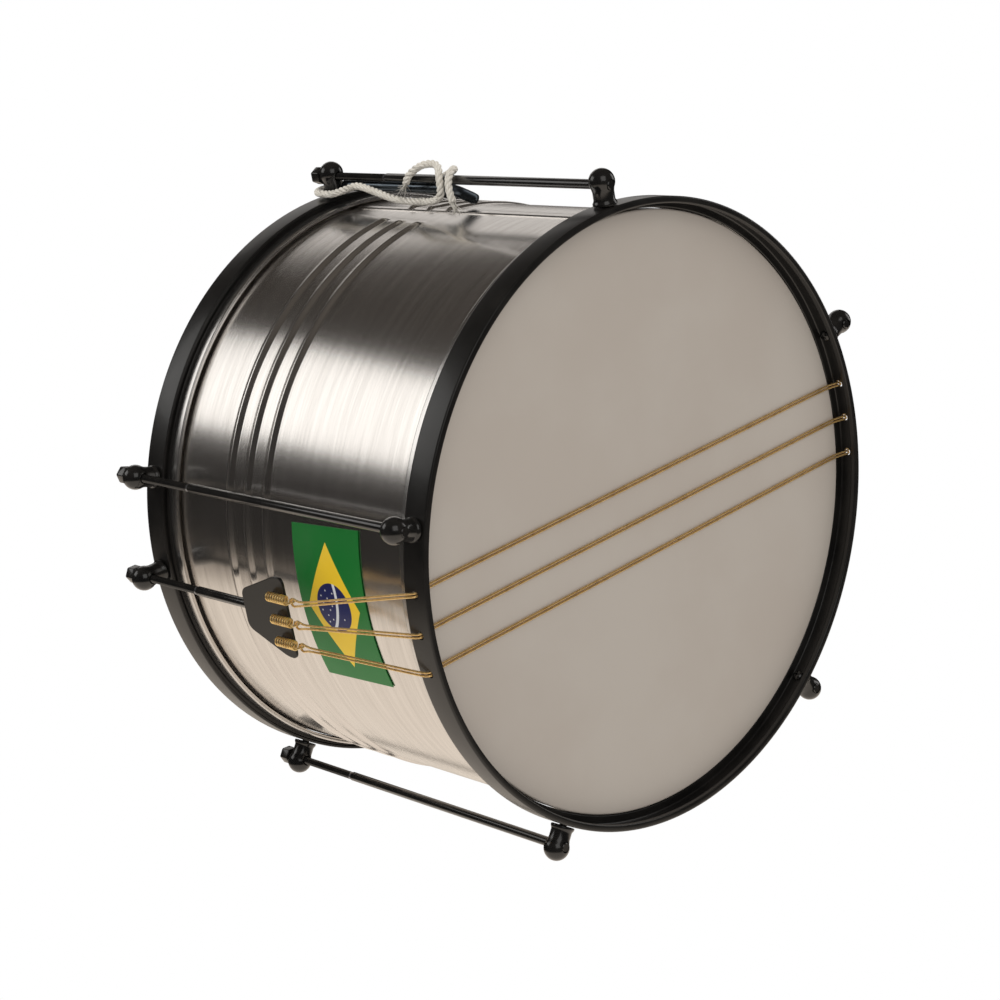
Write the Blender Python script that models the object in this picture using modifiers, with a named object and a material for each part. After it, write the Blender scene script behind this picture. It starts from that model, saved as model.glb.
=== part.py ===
"""A caixa, the Brazilian snare drum, lying on its side on its hoops and one row of lug posts.

Metres, +Z up. The drum's axis runs along Y and the batter head faces -Y. Everything is placed
from the empty "drum", whose own frame has the top tension rod straight above the axis, a
depth of 0 at the batter hoop's front edge and clock angles that grow from the top towards +X.
"""
import math

import bmesh
import bpy
from mathutils import Matrix, Vector

MM = 0.001
GAP = 0.3 * MM

# Whole drum
DRUM_LENGTH = 218 * MM
ROLL = math.radians(-9)
LUGS = 5
SEGMENTS = 60

# Shell: one rolled sheet with a lap seam and three raised beads
SHELL_RADIUS = 152.4 * MM
SHELL_WALL = 1.2 * MM
EDGE_ROUND = 1.5 * MM
BEAD_DEPTHS = (126 * MM, 141 * MM, 155.5 * MM)
BEAD_WIDTH = 7 * MM
BEAD_HEIGHT = 2 * MM
SEAM_ANGLE = math.radians(1.2)
SEAM_WIDTH = 9 * MM
SEAM_STEP = 0.8 * MM
SEAM_END_GAP = 2 * MM

# Flesh hoops and head films
FLESH_PLAY = 1.2 * MM
FLESH_WALL = 2.4 * MM
FLESH_OUTER_RADIUS = SHELL_RADIUS + FLESH_PLAY + FLESH_WALL
FLESH_END_DEPTH = 21.4 * MM
FILM_DEPTH = 10.5 * MM
FILM_WALL = 0.5 * MM
FILM_SKIRT = 7 * MM

# Counter-hoops: a flat band with a hemmed lip outside and a flange that presses on the flesh hoop
HOOP_PLAY = 2.5 * MM
HOOP_BAND = 14.4 * MM
HOOP_WALL = 1.5 * MM
HOOP_RADIUS = FLESH_OUTER_RADIUS + HOOP_PLAY + HOOP_WALL
LIP_THICKNESS = 3.6 * MM
LIP_DEPTH = 3.4 * MM
FLANGE_BEARING = 2.2 * MM
FLANGE_INNER_RADIUS = FLESH_OUTER_RADIUS - FLANGE_BEARING
FLANGE_DEPTH = 10.9 * MM
FLANGE_WALL = 1.3 * MM
LUG_DEPTH = 7.2 * MM

# Lug posts, their screws, tension rods and cap nuts
POST_DIAMETER = 13 * MM
POST_HEIGHT = 18.2 * MM
POST_SIDES = 12
DOME_STEPS = 3
ROD_HEIGHT = 10.2 * MM
ROD_DIAMETER = 4.8 * MM
THREAD_DIAMETER = 4.2 * MM
THREAD_START_DEPTH = 165 * MM
ROD_HOLE_CLEARANCE = 0.35 * MM
SCREW_DIAMETER = 3.8 * MM
SCREW_HEAD_DIAMETER = 6.0 * MM
SCREW_HEAD_HEIGHT = 1.8 * MM
SCREW_REACH = 5.5 * MM
SCREW_CLEARANCE = 0.3 * MM
NUT_ACROSS_CORNERS = 9.8 * MM
NUT_LENGTH = 7.5 * MM
NUT_CROWN_DIAMETER = 5.5 * MM
NUT_CROWN_LENGTH = 1.8 * MM
NUT_BORE_DEPTH = 6 * MM
THREAD_TIP_GAP = 1 * MM

# Snare tensioner: post, threaded rod and spring plate
SNARE_ANGLE = math.radians(-90)
SNARE_ROD_END_DEPTH = 106 * MM
PLATE_THICKNESS = 1.5 * MM
PLATE_FRONT_DEPTH = 86 * MM
PLATE_LENGTH = 35 * MM
PLATE_FRONT_WIDTH = 42 * MM
PLATE_REAR_WIDTH = 20 * MM
PLATE_CORNER = 4 * MM
PLATE_SIDE_LENGTH = 7 * MM
SPRING_HOLE_DIAMETER = 2.4 * MM
SPRING_HOLE_INSET = 10 * MM

# Snare springs
SPRING_SPACING = 11.7 * MM
SPRING_DIAMETER = 5 * MM
SPRING_WIRE = 0.9 * MM
SPRING_CURLS = 8
SPRING_PITCH = 1.8 * MM
POINTS_PER_CURL = 8
HOOK_RADIUS = 1.9 * MM

# Snare strings: doubled wires across the batter head
STRING_COUNT = 3
STRING_SPACING = 19.8 * MM
STRING_WIRE = 1.1 * MM
STRAND_SPACING = 1.6 * MM
STRING_HOLE_DIAMETER = 4.2 * MM
EYE_RADIUS = 2.0 * MM
FERRULE_DIAMETER = 3.6 * MM
FERRULE_LENGTH = 7 * MM
FERRULE_ROUND = 0.5 * MM
STRING_TURN_DEPTH = 4.2 * MM

# Tuning key and the cotton cord that ties it to the top rod
KEY_DIAMETER = 6 * MM
KEY_BEND_RADIUS = 7 * MM
KEY_FRONT_DEPTH = 118 * MM
KEY_ARM = 18 * MM
KEY_SIDE = 2.2 * MM
KEY_SLOPE = math.radians(32)
CORD_DIAMETER = 4.2 * MM

# Flag sticker
FLAG_LENGTH = 81 * MM
FLAG_WIDTH = 50 * MM
FLAG_THICKNESS = 0.4 * MM
FLAG_DEPTH = 77.5 * MM
FLAG_ANGLE = math.radians(-90.4)
FLAG_TILT = math.radians(2.7)

# Sizes that follow from the ones above
FACET_RADIUS = HOOP_RADIUS * math.cos(math.pi / SEGMENTS)
POST_RADIUS = POST_DIAMETER / 2
POST_BASE = HOOP_RADIUS + GAP
ROD_RADIUS = HOOP_RADIUS + ROD_HEIGHT
POST_TIP = HOOP_RADIUS + POST_HEIGHT
REAR_LUG_DEPTH = DRUM_LENGTH - LUG_DEPTH
NUT_SEAT_DEPTH = REAR_LUG_DEPTH + POST_RADIUS + GAP
NUT_END_DEPTH = NUT_SEAT_DEPTH + NUT_LENGTH
ROD_END_DEPTH = NUT_SEAT_DEPTH + NUT_BORE_DEPTH - THREAD_TIP_GAP
PLATE_BOTTOM = ROD_RADIUS + ROD_DIAMETER / 2 + GAP
PLATE_TOP = PLATE_BOTTOM + PLATE_THICKNESS
SPRING_AXIS = PLATE_TOP + GAP + SPRING_DIAMETER / 2
SPRING_MEAN_RADIUS = (SPRING_DIAMETER - SPRING_WIRE) / 2
SPRING_HOLE_DEPTH = PLATE_FRONT_DEPTH + SPRING_HOLE_INSET
COIL_FRONT_DEPTH = SPRING_HOLE_DEPTH - SPRING_CURLS * SPRING_PITCH - SPRING_WIRE
HOOK_CENTRE_DEPTH = COIL_FRONT_DEPTH - SPRING_WIRE - HOOK_RADIUS
EYE_CENTRE_DEPTH = HOOK_CENTRE_DEPTH - HOOK_RADIUS + SPRING_WIRE / 2 + GAP + STRING_WIRE / 2 - EYE_RADIUS
STRING_ON_HEAD_DEPTH = FILM_DEPTH - GAP - STRING_WIRE / 2
FERRULE_START_DEPTH = LUG_DEPTH + STRING_TURN_DEPTH + GAP
DRUM_PLACE = Vector((0, -NUT_END_DEPTH / 2, FACET_RADIUS))

PARTS = None
CUTTERS = None
DRUM = None
MATERIALS = {}


def clear_scene():
    """Removes every object, mesh and curve that the file starts with."""
    for thing in list(bpy.data.objects):
        bpy.data.objects.remove(thing, do_unlink=True)


def new_collection(name):
    group = bpy.data.collections.new(name)
    bpy.context.scene.collection.children.link(group)
    return group


def material(name, colour, roughness, metallic):
    """One Principled material per finish."""
    if name not in MATERIALS:
        finish = bpy.data.materials.new(name)
        finish.use_nodes = True
        shader = finish.node_tree.nodes["Principled BSDF"]
        shader.inputs["Base Color"].default_value = (*colour, 1)
        shader.inputs["Roughness"].default_value = roughness
        shader.inputs["Metallic"].default_value = metallic
        MATERIALS[name] = finish
    return MATERIALS[name]


def black_metal():
    return material("black_metal", (0.012, 0.011, 0.010), 0.3, 0.4)


def aluminium():
    return material("aluminium", (0.72, 0.70, 0.67), 0.3, 1.0)


def brass():
    return material("brass", (0.75, 0.48, 0.16), 0.3, 1.0)


def film():
    return material("film", (0.68, 0.64, 0.60), 0.45, 0.0)


def dark_steel():
    return material("dark_steel", (0.12, 0.15, 0.18), 0.25, 1.0)


def cotton():
    return material("cotton", (0.80, 0.77, 0.70), 0.9, 0.0)


def flag_green():
    return material("flag_green", (0.0, 0.21, 0.03), 0.4, 0.0)


def at_angle(radius, depth, angle, side=0.0):
    """A point in the drum's frame: radius out, depth behind the front edge, side along the rim."""
    return Vector((
        radius * math.sin(angle) + side * math.cos(angle),
        depth,
        radius * math.cos(angle) - side * math.sin(angle),
    ))


def link(thing, finish, location=(0, 0, 0), rotation=(0, 0, 0)):
    """Puts a finished object in the parts collection, under the drum's empty."""
    PARTS.objects.link(thing)
    thing.data.materials.clear()
    thing.data.materials.append(finish)
    thing.parent = DRUM
    thing.location = location
    thing.rotation_euler = rotation
    return thing


def shade(mesh):
    mesh.shade_smooth()
    mesh.set_sharp_from_angle(angle=math.radians(35))


def evaluated_mesh(thing, name):
    """The mesh of an object with its modifiers applied; the object itself is removed."""
    bpy.context.view_layer.update()
    graph = bpy.context.evaluated_depsgraph_get()
    mesh = bpy.data.meshes.new_from_object(thing.evaluated_get(graph), depsgraph=graph)
    mesh.name = name
    bpy.data.objects.remove(thing, do_unlink=True)
    return mesh


def screwed(name, profile, steps, closed):
    """An object turned about local Z from (radius, height) points that run down the outer side."""
    mesh = bpy.data.meshes.new(name)
    build = bmesh.new()
    dots = [build.verts.new((radius, 0, height)) for radius, height in profile]
    pairs = list(zip(dots, dots[1:]))
    if closed:
        pairs.append((dots[-1], dots[0]))
    for start, end in pairs:
        build.edges.new((start, end))
    build.to_mesh(mesh)
    build.free()
    thing = bpy.data.objects.new(name, mesh)
    turn = thing.modifiers.new("Turn", "SCREW")
    turn.axis = "Z"
    turn.steps = steps
    turn.render_steps = steps
    turn.use_merge_vertices = True
    turn.merge_threshold = 0.00002
    turn.use_smooth_shade = True
    return thing


def turned_mesh(name, profile, steps, closed=False):
    """The mesh of a turned shape, for pieces that share it or are cut."""
    thing = screwed(name, profile, steps, closed)
    bpy.context.scene.collection.objects.link(thing)
    mesh = evaluated_mesh(thing, name)
    shade(mesh)
    return mesh


def along_drum(name, profile, finish, steps=SEGMENTS, closed=False, centre=(0, 0, 0), angle=0.0):
    """A piece turned about a line along the drum's axis; heights in the profile are depths."""
    thing = screwed(name, profile, steps, closed)
    return link(thing, finish, centre, (-math.pi / 2, angle, 0))


def cutter_object(name, pieces):
    """One cutter made of several separate closed cylinders: (radius, length, sides, matrix) each."""
    mesh = bpy.data.meshes.new(name)
    build = bmesh.new()
    for radius, length, sides, matrix in pieces:
        bmesh.ops.create_cone(
            build, cap_ends=True, segments=sides, radius1=radius, radius2=radius, depth=length, matrix=matrix
        )
    build.to_mesh(mesh)
    build.free()
    thing = bpy.data.objects.new(name, mesh)
    CUTTERS.objects.link(thing)
    thing.hide_render = True
    thing.display_type = "WIRE"
    return thing


def cut(thing, cutter, operation="DIFFERENCE"):
    change = thing.modifiers.new(operation.title(), "BOOLEAN")
    change.operation = operation
    change.solver = "EXACT"
    change.object = cutter


def along_y(depth_centre, radial=0.0):
    """Matrix that lays a cylinder along Y at a radial height."""
    return Matrix.Translation((0, depth_centre, radial)) @ Matrix.Rotation(-math.pi / 2, 4, "X")


def tube(name, points, diameter, finish, resolution, cyclic=False):
    """A wire or cord as a POLY curve with filled caps, in the drum's frame."""
    path = bpy.data.curves.new(name, "CURVE")
    path.dimensions = "3D"
    path.bevel_depth = diameter / 2
    path.bevel_resolution = resolution
    path.use_fill_caps = True
    line = path.splines.new("POLY")
    line.points.add(len(points) - 1)
    for dot, place in zip(line.points, points):
        dot.co = (*place, 1)
    line.use_cyclic_u = cyclic
    return link(bpy.data.objects.new(name, path), finish)


def smooth_route(knots, spacing):
    """Points about one spacing apart on a centripetal curve through the knots."""
    knots = [Vector(k) for k in knots]
    ends = [knots[0] * 2 - knots[1], *knots, knots[-1] * 2 - knots[-2]]
    route = [knots[0]]
    for before, start, end, after in zip(ends, ends[1:], ends[2:], ends[3:]):
        count = max(1, round((end - start).length / spacing))
        for step in range(1, count + 1):
            share = step / count
            into = (end - before) / 2
            out = (after - start) / 2
            square = share * share
            cube = square * share
            route.append(
                start * (2 * cube - 3 * square + 1)
                + into * (cube - 2 * square + share)
                + end * (3 * square - 2 * cube)
                + out * (cube - square)
            )
    return route


def mirrored_depth(profile):
    """The same profile seen from the rear end, reversed to keep its outer side running down."""
    return [(radius, DRUM_LENGTH - depth) for radius, depth in reversed(profile)]


def hoop_profile():
    """Outer side runs from the rear edge of the band to the front lip, then back inside."""
    inner = HOOP_RADIUS - HOOP_WALL
    lip_inner = HOOP_RADIUS - LIP_THICKNESS
    flange_end = FLANGE_DEPTH + FLANGE_WALL
    round_off = 0.9 * MM
    return [
        (HOOP_RADIUS, HOOP_BAND),
        (HOOP_RADIUS, round_off),
        (HOOP_RADIUS - round_off, 0),
        (lip_inner + round_off, 0),
        (lip_inner, round_off),
        (lip_inner, LIP_DEPTH),
        (inner, LIP_DEPTH),
        (inner, FLANGE_DEPTH),
        (FLANGE_INNER_RADIUS, FLANGE_DEPTH),
        (FLANGE_INNER_RADIUS, flange_end),
        (inner, flange_end),
        (inner, HOOP_BAND),
    ]


def string_hole_angles():
    """Clock angles of the six string holes, three on each side of the batter hoop."""
    offsets = [(n - (STRING_COUNT - 1) / 2) * STRING_SPACING for n in range(STRING_COUNT)]
    swings = [math.asin(offset / HOOP_RADIUS) for offset in offsets]
    near = [SNARE_ANGLE + swing for swing in swings]
    far = [SNARE_ANGLE + math.pi - swing for swing in swings]
    return near + far


def hoop_cutter(name, lug_depth, lug_angles, string_angles):
    """Radial holes through the band for the post screws and the strings."""
    pieces = []
    reach = 4 * HOOP_WALL
    screw_hole = SCREW_DIAMETER / 2 + SCREW_CLEARANCE
    middle = HOOP_RADIUS - HOOP_WALL / 2
    for angle in lug_angles:
        matrix = Matrix.Translation(at_angle(middle, lug_depth, angle)) @ Matrix.Rotation(angle, 4, "Y")
        pieces.append((screw_hole, reach, 8, matrix))
    for angle in string_angles:
        matrix = Matrix.Translation(at_angle(middle, lug_depth, angle)) @ Matrix.Rotation(angle, 4, "Y")
        pieces.append((STRING_HOLE_DIAMETER / 2, reach, 10, matrix))
    thing = cutter_object(name, pieces)
    thing.parent = DRUM
    return thing


def lug_angles():
    return [2 * math.pi * n / LUGS for n in range(LUGS)]


def build_hoops():
    front = along_drum("batter_hoop", hoop_profile(), black_metal(), closed=True)
    cut(front, hoop_cutter("batter_hoop_holes", LUG_DEPTH, lug_angles(), string_hole_angles()))
    rear = along_drum("resonant_hoop", mirrored_depth(hoop_profile()), black_metal(), closed=True)
    rear_angles = [*lug_angles(), SNARE_ANGLE]
    cut(rear, hoop_cutter("resonant_hoop_holes", REAR_LUG_DEPTH, rear_angles, []))


def flesh_profile():
    inner = FLESH_OUTER_RADIUS - FLESH_WALL
    start = FLANGE_DEPTH + FLANGE_WALL + GAP
    round_off = 0.8 * MM
    return [
        (FLESH_OUTER_RADIUS, FLESH_END_DEPTH - round_off),
        (FLESH_OUTER_RADIUS, start),
        (inner, start),
        (inner, FLESH_END_DEPTH),
        (FLESH_OUTER_RADIUS - round_off, FLESH_END_DEPTH),
    ]


def film_profile():
    """A drawn cup: the flat playing area, a rounded collar and a skirt inside the flesh hoop."""
    outer = FLESH_OUTER_RADIUS - FLESH_WALL - GAP
    inner = outer - FILM_WALL
    collar = 1.2 * MM
    skirt_end = FILM_DEPTH + FILM_SKIRT
    return [
        (0, FILM_DEPTH + FILM_WALL),
        (inner - collar, FILM_DEPTH + FILM_WALL),
        (inner, FILM_DEPTH + FILM_WALL + collar),
        (inner, skirt_end),
        (outer, skirt_end),
        (outer, FILM_DEPTH + collar),
        (outer - collar, FILM_DEPTH),
        (0, FILM_DEPTH),
    ]


def build_heads():
    along_drum("batter_film", film_profile(), film())
    along_drum("resonant_film", mirrored_depth(film_profile()), film())
    along_drum("batter_flesh_hoop", flesh_profile(), aluminium(), closed=True)
    along_drum("resonant_flesh_hoop", mirrored_depth(flesh_profile()), aluminium(), closed=True)


def shell_profile():
    """From the rear edge forward on the outside, over the beads, then back along the inside."""
    edge = FILM_DEPTH + FILM_WALL + GAP
    inner = SHELL_RADIUS - SHELL_WALL
    outside = [(SHELL_RADIUS - EDGE_ROUND / 2, DRUM_LENGTH - edge), (SHELL_RADIUS, DRUM_LENGTH - edge - EDGE_ROUND)]
    half = BEAD_WIDTH / 2
    for depth in reversed(BEAD_DEPTHS):
        outside += [
            (SHELL_RADIUS, depth + half),
            (SHELL_RADIUS + BEAD_HEIGHT * 0.8, depth + half * 0.45),
            (SHELL_RADIUS + BEAD_HEIGHT, depth),
            (SHELL_RADIUS + BEAD_HEIGHT * 0.8, depth - half * 0.45),
            (SHELL_RADIUS, depth - half),
        ]
    outside += [(SHELL_RADIUS, edge + EDGE_ROUND), (SHELL_RADIUS - EDGE_ROUND / 2, edge)]
    return [*outside, (inner, edge), (inner, DRUM_LENGTH - edge)]


def build_shell():
    """The rolled tube, with the outer sheet's overlap standing proud along the seam."""
    shell = along_drum("shell", shell_profile(), aluminium(), closed=True)
    start = FLESH_END_DEPTH + SEAM_END_GAP
    length = DRUM_LENGTH - 2 * start
    top = SHELL_RADIUS + SEAM_STEP
    bottom = SHELL_RADIUS - SHELL_WALL / 2
    mesh = bpy.data.meshes.new("seam_overlap")
    build = bmesh.new()
    bmesh.ops.create_cube(build, size=1)
    bmesh.ops.scale(build, vec=(SEAM_WIDTH, length, top - bottom), verts=build.verts)
    build.to_mesh(mesh)
    build.free()
    lap = bpy.data.objects.new("seam_overlap", mesh)
    CUTTERS.objects.link(lap)
    lap.hide_render = True
    lap.display_type = "WIRE"
    lap.parent = DRUM
    lap.location = at_angle((top + bottom) / 2, start + length / 2, SEAM_ANGLE, SEAM_WIDTH / 2)
    lap.rotation_euler = (0, SEAM_ANGLE, 0)
    cut(shell, lap, "UNION")


def post_mesh():
    """A round post with a domed end, a cross hole for the rod and a blind hole for its screw."""
    dome = POST_HEIGHT - POST_RADIUS
    profile = [(0, POST_HEIGHT)]
    for step in range(1, DOME_STEPS + 1):
        turn = math.pi / 2 * (1 - step / DOME_STEPS)
        profile.append((POST_RADIUS * math.cos(turn), dome + POST_RADIUS * math.sin(turn)))
    profile += [(POST_RADIUS, GAP), (0, GAP)]
    post = screwed("post", profile, POST_SIDES, False)
    bpy.context.scene.collection.objects.link(post)
    rod_hole = ROD_DIAMETER / 2 + ROD_HOLE_CLEARANCE
    screw_hole = SCREW_DIAMETER / 2 + SCREW_CLEARANCE
    depth = SCREW_REACH + GAP
    screw_place = Matrix.Translation((0, 0, GAP + depth / 2 - MM))
    holes = cutter_object("post_holes", [
        (rod_hole, 2 * POST_DIAMETER, 10, along_y(0, ROD_HEIGHT)),
        (screw_hole, depth + 2 * MM, 8, screw_place),
    ])
    cut(post, holes)
    mesh = evaluated_mesh(post, "post")
    shade(mesh)
    return mesh


def screw_mesh():
    """A pan-head screw that points outwards, its head against the inside of the hoop's wall."""
    seat = -HOOP_WALL - GAP
    head = SCREW_HEAD_DIAMETER / 2
    shank = SCREW_DIAMETER / 2
    profile = [
        (0, SCREW_REACH),
        (shank, SCREW_REACH),
        (shank, seat),
        (head, seat),
        (head * 0.8, seat - SCREW_HEAD_HEIGHT),
        (0, seat - SCREW_HEAD_HEIGHT),
    ]
    return turned_mesh("post_screw", profile, 8)


def place_post(name, depth, angle, post, screw):
    foot = at_angle(HOOP_RADIUS, depth, angle)
    link(bpy.data.objects.new(name, post), black_metal(), foot, (0, angle, 0))
    link(bpy.data.objects.new(name + "_screw", screw), black_metal(), foot, (0, angle, 0))


def build_posts():
    post = post_mesh()
    screw = screw_mesh()
    for number, angle in enumerate(lug_angles(), 1):
        place_post(f"front_post_{number}", LUG_DEPTH, angle, post, screw)
        place_post(f"rear_post_{number}", REAR_LUG_DEPTH, angle, post, screw)
    place_post("snare_post", REAR_LUG_DEPTH, SNARE_ANGLE, post, screw)


def rod_profile(front_depth):
    """A plain rod whose rear part is thinner where it is threaded."""
    shaft = ROD_DIAMETER / 2
    thread = THREAD_DIAMETER / 2
    bevel = 0.4 * MM
    return [
        (0, ROD_END_DEPTH),
        (thread - bevel, ROD_END_DEPTH),
        (thread, ROD_END_DEPTH - bevel),
        (thread, THREAD_START_DEPTH),
        (shaft, THREAD_START_DEPTH - bevel),
        (shaft, front_depth),
        (0, front_depth),
    ]


def nut_mesh():
    """A hexagonal cap nut with a blind bore; its own Z runs out of its closed end."""
    corner = NUT_ACROSS_CORNERS / 2
    profile = [
        (0, NUT_LENGTH),
        (NUT_CROWN_DIAMETER / 2, NUT_LENGTH),
        (corner, NUT_LENGTH - NUT_CROWN_LENGTH),
        (corner, 0),
        (0, 0),
    ]
    nut = screwed("nut", profile, 6, False)
    bpy.context.scene.collection.objects.link(nut)
    bore = THREAD_DIAMETER / 2 + ROD_HOLE_CLEARANCE
    place = Matrix.Translation((0, 0, NUT_BORE_DEPTH / 2 - MM))
    cut(nut, cutter_object("nut_bore", [(bore, NUT_BORE_DEPTH + 2 * MM, 10, place)]))
    mesh = evaluated_mesh(nut, "nut")
    mesh.shade_flat()
    return mesh


def build_rods():
    nut = nut_mesh()
    front_depth = LUG_DEPTH - POST_RADIUS + GAP
    for number, angle in enumerate(lug_angles(), 1):
        centre = at_angle(ROD_RADIUS, 0, angle)
        along_drum(f"tension_rod_{number}", rod_profile(front_depth), black_metal(), 10, centre=centre, angle=angle)
        seat = at_angle(ROD_RADIUS, NUT_SEAT_DEPTH, angle)
        nut_object = bpy.data.objects.new(f"tension_nut_{number}", nut)
        link(nut_object, black_metal(), seat, (-math.pi / 2, angle, 0))
    centre = at_angle(ROD_RADIUS, 0, SNARE_ANGLE)
    along_drum("snare_rod", rod_profile(SNARE_ROD_END_DEPTH), black_metal(), 10, centre=centre, angle=SNARE_ANGLE)
    seat = at_angle(ROD_RADIUS, NUT_SEAT_DEPTH, SNARE_ANGLE)
    link(bpy.data.objects.new("snare_nut", nut), black_metal(), seat, (-math.pi / 2, SNARE_ANGLE, 0))


def rounded(corners, radius, steps):
    """A closed outline with each corner replaced by a short arc of points."""
    outline = []
    count = len(corners)
    for index, corner in enumerate(corners):
        corner = Vector(corner)
        back = (Vector(corners[index - 1]) - corner).normalized()
        ahead = (Vector(corners[(index + 1) % count]) - corner).normalized()
        reach = radius / math.tan(back.angle(ahead) / 2)
        start = corner + back * reach
        end = corner + ahead * reach
        for step in range(steps + 1):
            share = step / steps
            outline.append(
                start * (1 - share) ** 2 + corner * 2 * share * (1 - share) + end * share ** 2
            )
    return outline


def add_loop(path, points):
    line = path.splines.new("POLY")
    line.points.add(len(points) - 1)
    for dot, place in zip(line.points, points):
        dot.co = (place[0], place[1], 0, 1)
    line.use_cyclic_u = True


def spring_offsets():
    return [(n - (STRING_COUNT - 1) / 2) * SPRING_SPACING for n in range(STRING_COUNT)]


def build_plate():
    """A flat plate that widens towards the front, where the three springs hook in."""
    half_front = PLATE_FRONT_WIDTH / 2
    half_rear = PLATE_REAR_WIDTH / 2
    corners = [
        (-half_front, 0),
        (half_front, 0),
        (half_front, PLATE_SIDE_LENGTH),
        (half_rear, PLATE_LENGTH),
        (-half_rear, PLATE_LENGTH),
        (-half_front, PLATE_SIDE_LENGTH),
    ]
    path = bpy.data.curves.new("snare_plate", "CURVE")
    path.dimensions = "2D"
    path.fill_mode = "BOTH"
    path.extrude = PLATE_THICKNESS / 2
    add_loop(path, rounded(corners, PLATE_CORNER, 3))
    for side in spring_offsets():
        hole = [
            (
                side + SPRING_HOLE_DIAMETER / 2 * math.cos(math.pi * n / 4),
                SPRING_HOLE_INSET + SPRING_HOLE_DIAMETER / 2 * math.sin(math.pi * n / 4),
            )
            for n in range(8)
        ]
        add_loop(path, hole)
    place = at_angle((PLATE_BOTTOM + PLATE_TOP) / 2, PLATE_FRONT_DEPTH, SNARE_ANGLE)
    link(bpy.data.objects.new("snare_plate", path), black_metal(), place, (0, SNARE_ANGLE, 0))


def in_snare_frame(points):
    """Turns (side, depth, height) points about the snare's own line into the drum's frame."""
    return [at_angle(height, depth, SNARE_ANGLE, side) for side, depth, height in points]


def spring_points(side):
    """Hook under the plate, a straight rise through its hole, the curls, then the front hook."""
    mean = SPRING_MEAN_RADIUS
    under = PLATE_BOTTOM - GAP - SPRING_WIRE / 2
    points = [
        (side, SPRING_HOLE_DEPTH + 2.2 * MM, under),
        (side, SPRING_HOLE_DEPTH + 0.8 * MM, under),
        (side, SPRING_HOLE_DEPTH, under + 0.6 * MM),
        (side, SPRING_HOLE_DEPTH, PLATE_TOP),
    ]
    total = SPRING_CURLS * POINTS_PER_CURL
    for step in range(total + 1):
        turn = -math.pi / 2 + 2 * math.pi * step / POINTS_PER_CURL
        depth = SPRING_HOLE_DEPTH - SPRING_WIRE - step * SPRING_PITCH / POINTS_PER_CURL
        points.append((side + mean * math.cos(turn), depth, SPRING_AXIS + mean * math.sin(turn)))
    hook_steps = 10
    centre = HOOK_CENTRE_DEPTH
    for step in range(hook_steps + 1):
        turn = -math.pi / 4 + step * 1.35 * math.pi / hook_steps
        depth = centre - HOOK_RADIUS * math.sin(turn + math.pi / 4)
        points.append((side, depth, SPRING_AXIS - HOOK_RADIUS * math.cos(turn + math.pi / 4)))
    return points


def least_self_gap(points, diameter, apart):
    """The least gap between stretches of one tube that are over a few points apart."""
    least = None
    for first in range(len(points)):
        for second in range(first + apart, len(points)):
            gap = (Vector(points[first]) - Vector(points[second])).length - diameter
            if least is None or gap < least:
                least = gap
    return least


def build_springs():
    for number, side in enumerate(spring_offsets(), 1):
        points = spring_points(side)
        tube(f"snare_spring_{number}", in_snare_frame(points), SPRING_WIRE, brass(), 1)
        gap = least_self_gap(points, SPRING_WIRE, POINTS_PER_CURL - 1)
        print(f"snare_spring_{number}: least gap to itself {gap / MM:.2f} mm")


def ferrule_radius(hole_side):
    """How far out a ferrule's line lies, for a string that is off to one side."""
    drop = HOOP_RADIUS - math.sqrt(HOOP_RADIUS ** 2 - hole_side ** 2)
    return HOOP_RADIUS + GAP + FERRULE_DIAMETER / 2 - drop


def ferrule_profile():
    """A short plain sleeve crimped over the ends of a string."""
    radius = FERRULE_DIAMETER / 2
    end = FERRULE_START_DEPTH + FERRULE_LENGTH
    return [
        (0, end),
        (radius - FERRULE_ROUND, end),
        (radius, end - FERRULE_ROUND),
        (radius, FERRULE_START_DEPTH + FERRULE_ROUND),
        (radius - FERRULE_ROUND, FERRULE_START_DEPTH),
        (0, FERRULE_START_DEPTH),
    ]


def strand(hole_side, spring_side, lean):
    """One strand of a string: from its ferrule on the far side to the start of its eye."""
    height = math.sqrt(HOOP_RADIUS ** 2 - hole_side ** 2)
    wall = height - HOOP_WALL / 2
    around = [
        (LUG_DEPTH + STRING_TURN_DEPTH, ferrule_radius(hole_side)),
        (LUG_DEPTH + 2.6 * MM, height + 1.5 * MM),
        (LUG_DEPTH + 0.9 * MM, height + 0.8 * MM),
        (LUG_DEPTH - 0.6 * MM, wall),
        (LUG_DEPTH - 0.4 * MM, wall - 1.6 * MM),
        (LUG_DEPTH + 0.8 * MM, wall - 4 * MM),
        (STRING_ON_HEAD_DEPTH, wall - 10 * MM),
    ]
    side = hole_side + lean
    points = [(side, depth, -reach) for depth, reach in around]
    points += [(side, depth, reach) for depth, reach in reversed(around[1:])]
    eye_side = spring_side + lean
    points.append((eye_side, EYE_CENTRE_DEPTH - 2.6 * EYE_RADIUS, SPRING_AXIS))
    return points


def build_strings():
    """Each string is one wire, doubled at the eye that its spring's hook holds."""
    lean = STRAND_SPACING / 2
    holes = [(n - (STRING_COUNT - 1) / 2) * STRING_SPACING for n in range(STRING_COUNT)]
    for number, (hole_side, spring_side) in enumerate(zip(holes, spring_offsets()), 1):
        out = strand(hole_side, spring_side, -lean)
        back = strand(hole_side, spring_side, lean)
        eye = []
        for step in range(9):
            turn = math.radians(-120 + 30 * step)
            side = spring_side + EYE_RADIUS * math.sin(turn)
            eye.append((side, EYE_CENTRE_DEPTH + EYE_RADIUS * math.cos(turn), SPRING_AXIS))
        points = [*out, *eye, *reversed(back)]
        tube(f"snare_string_{number}", in_snare_frame(points), STRING_WIRE, brass(), 1)
        centre = at_angle(-ferrule_radius(hole_side), 0, SNARE_ANGLE, hole_side)
        along_drum(f"string_ferrule_{number}", ferrule_profile(), brass(), 10, centre=centre)


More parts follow.
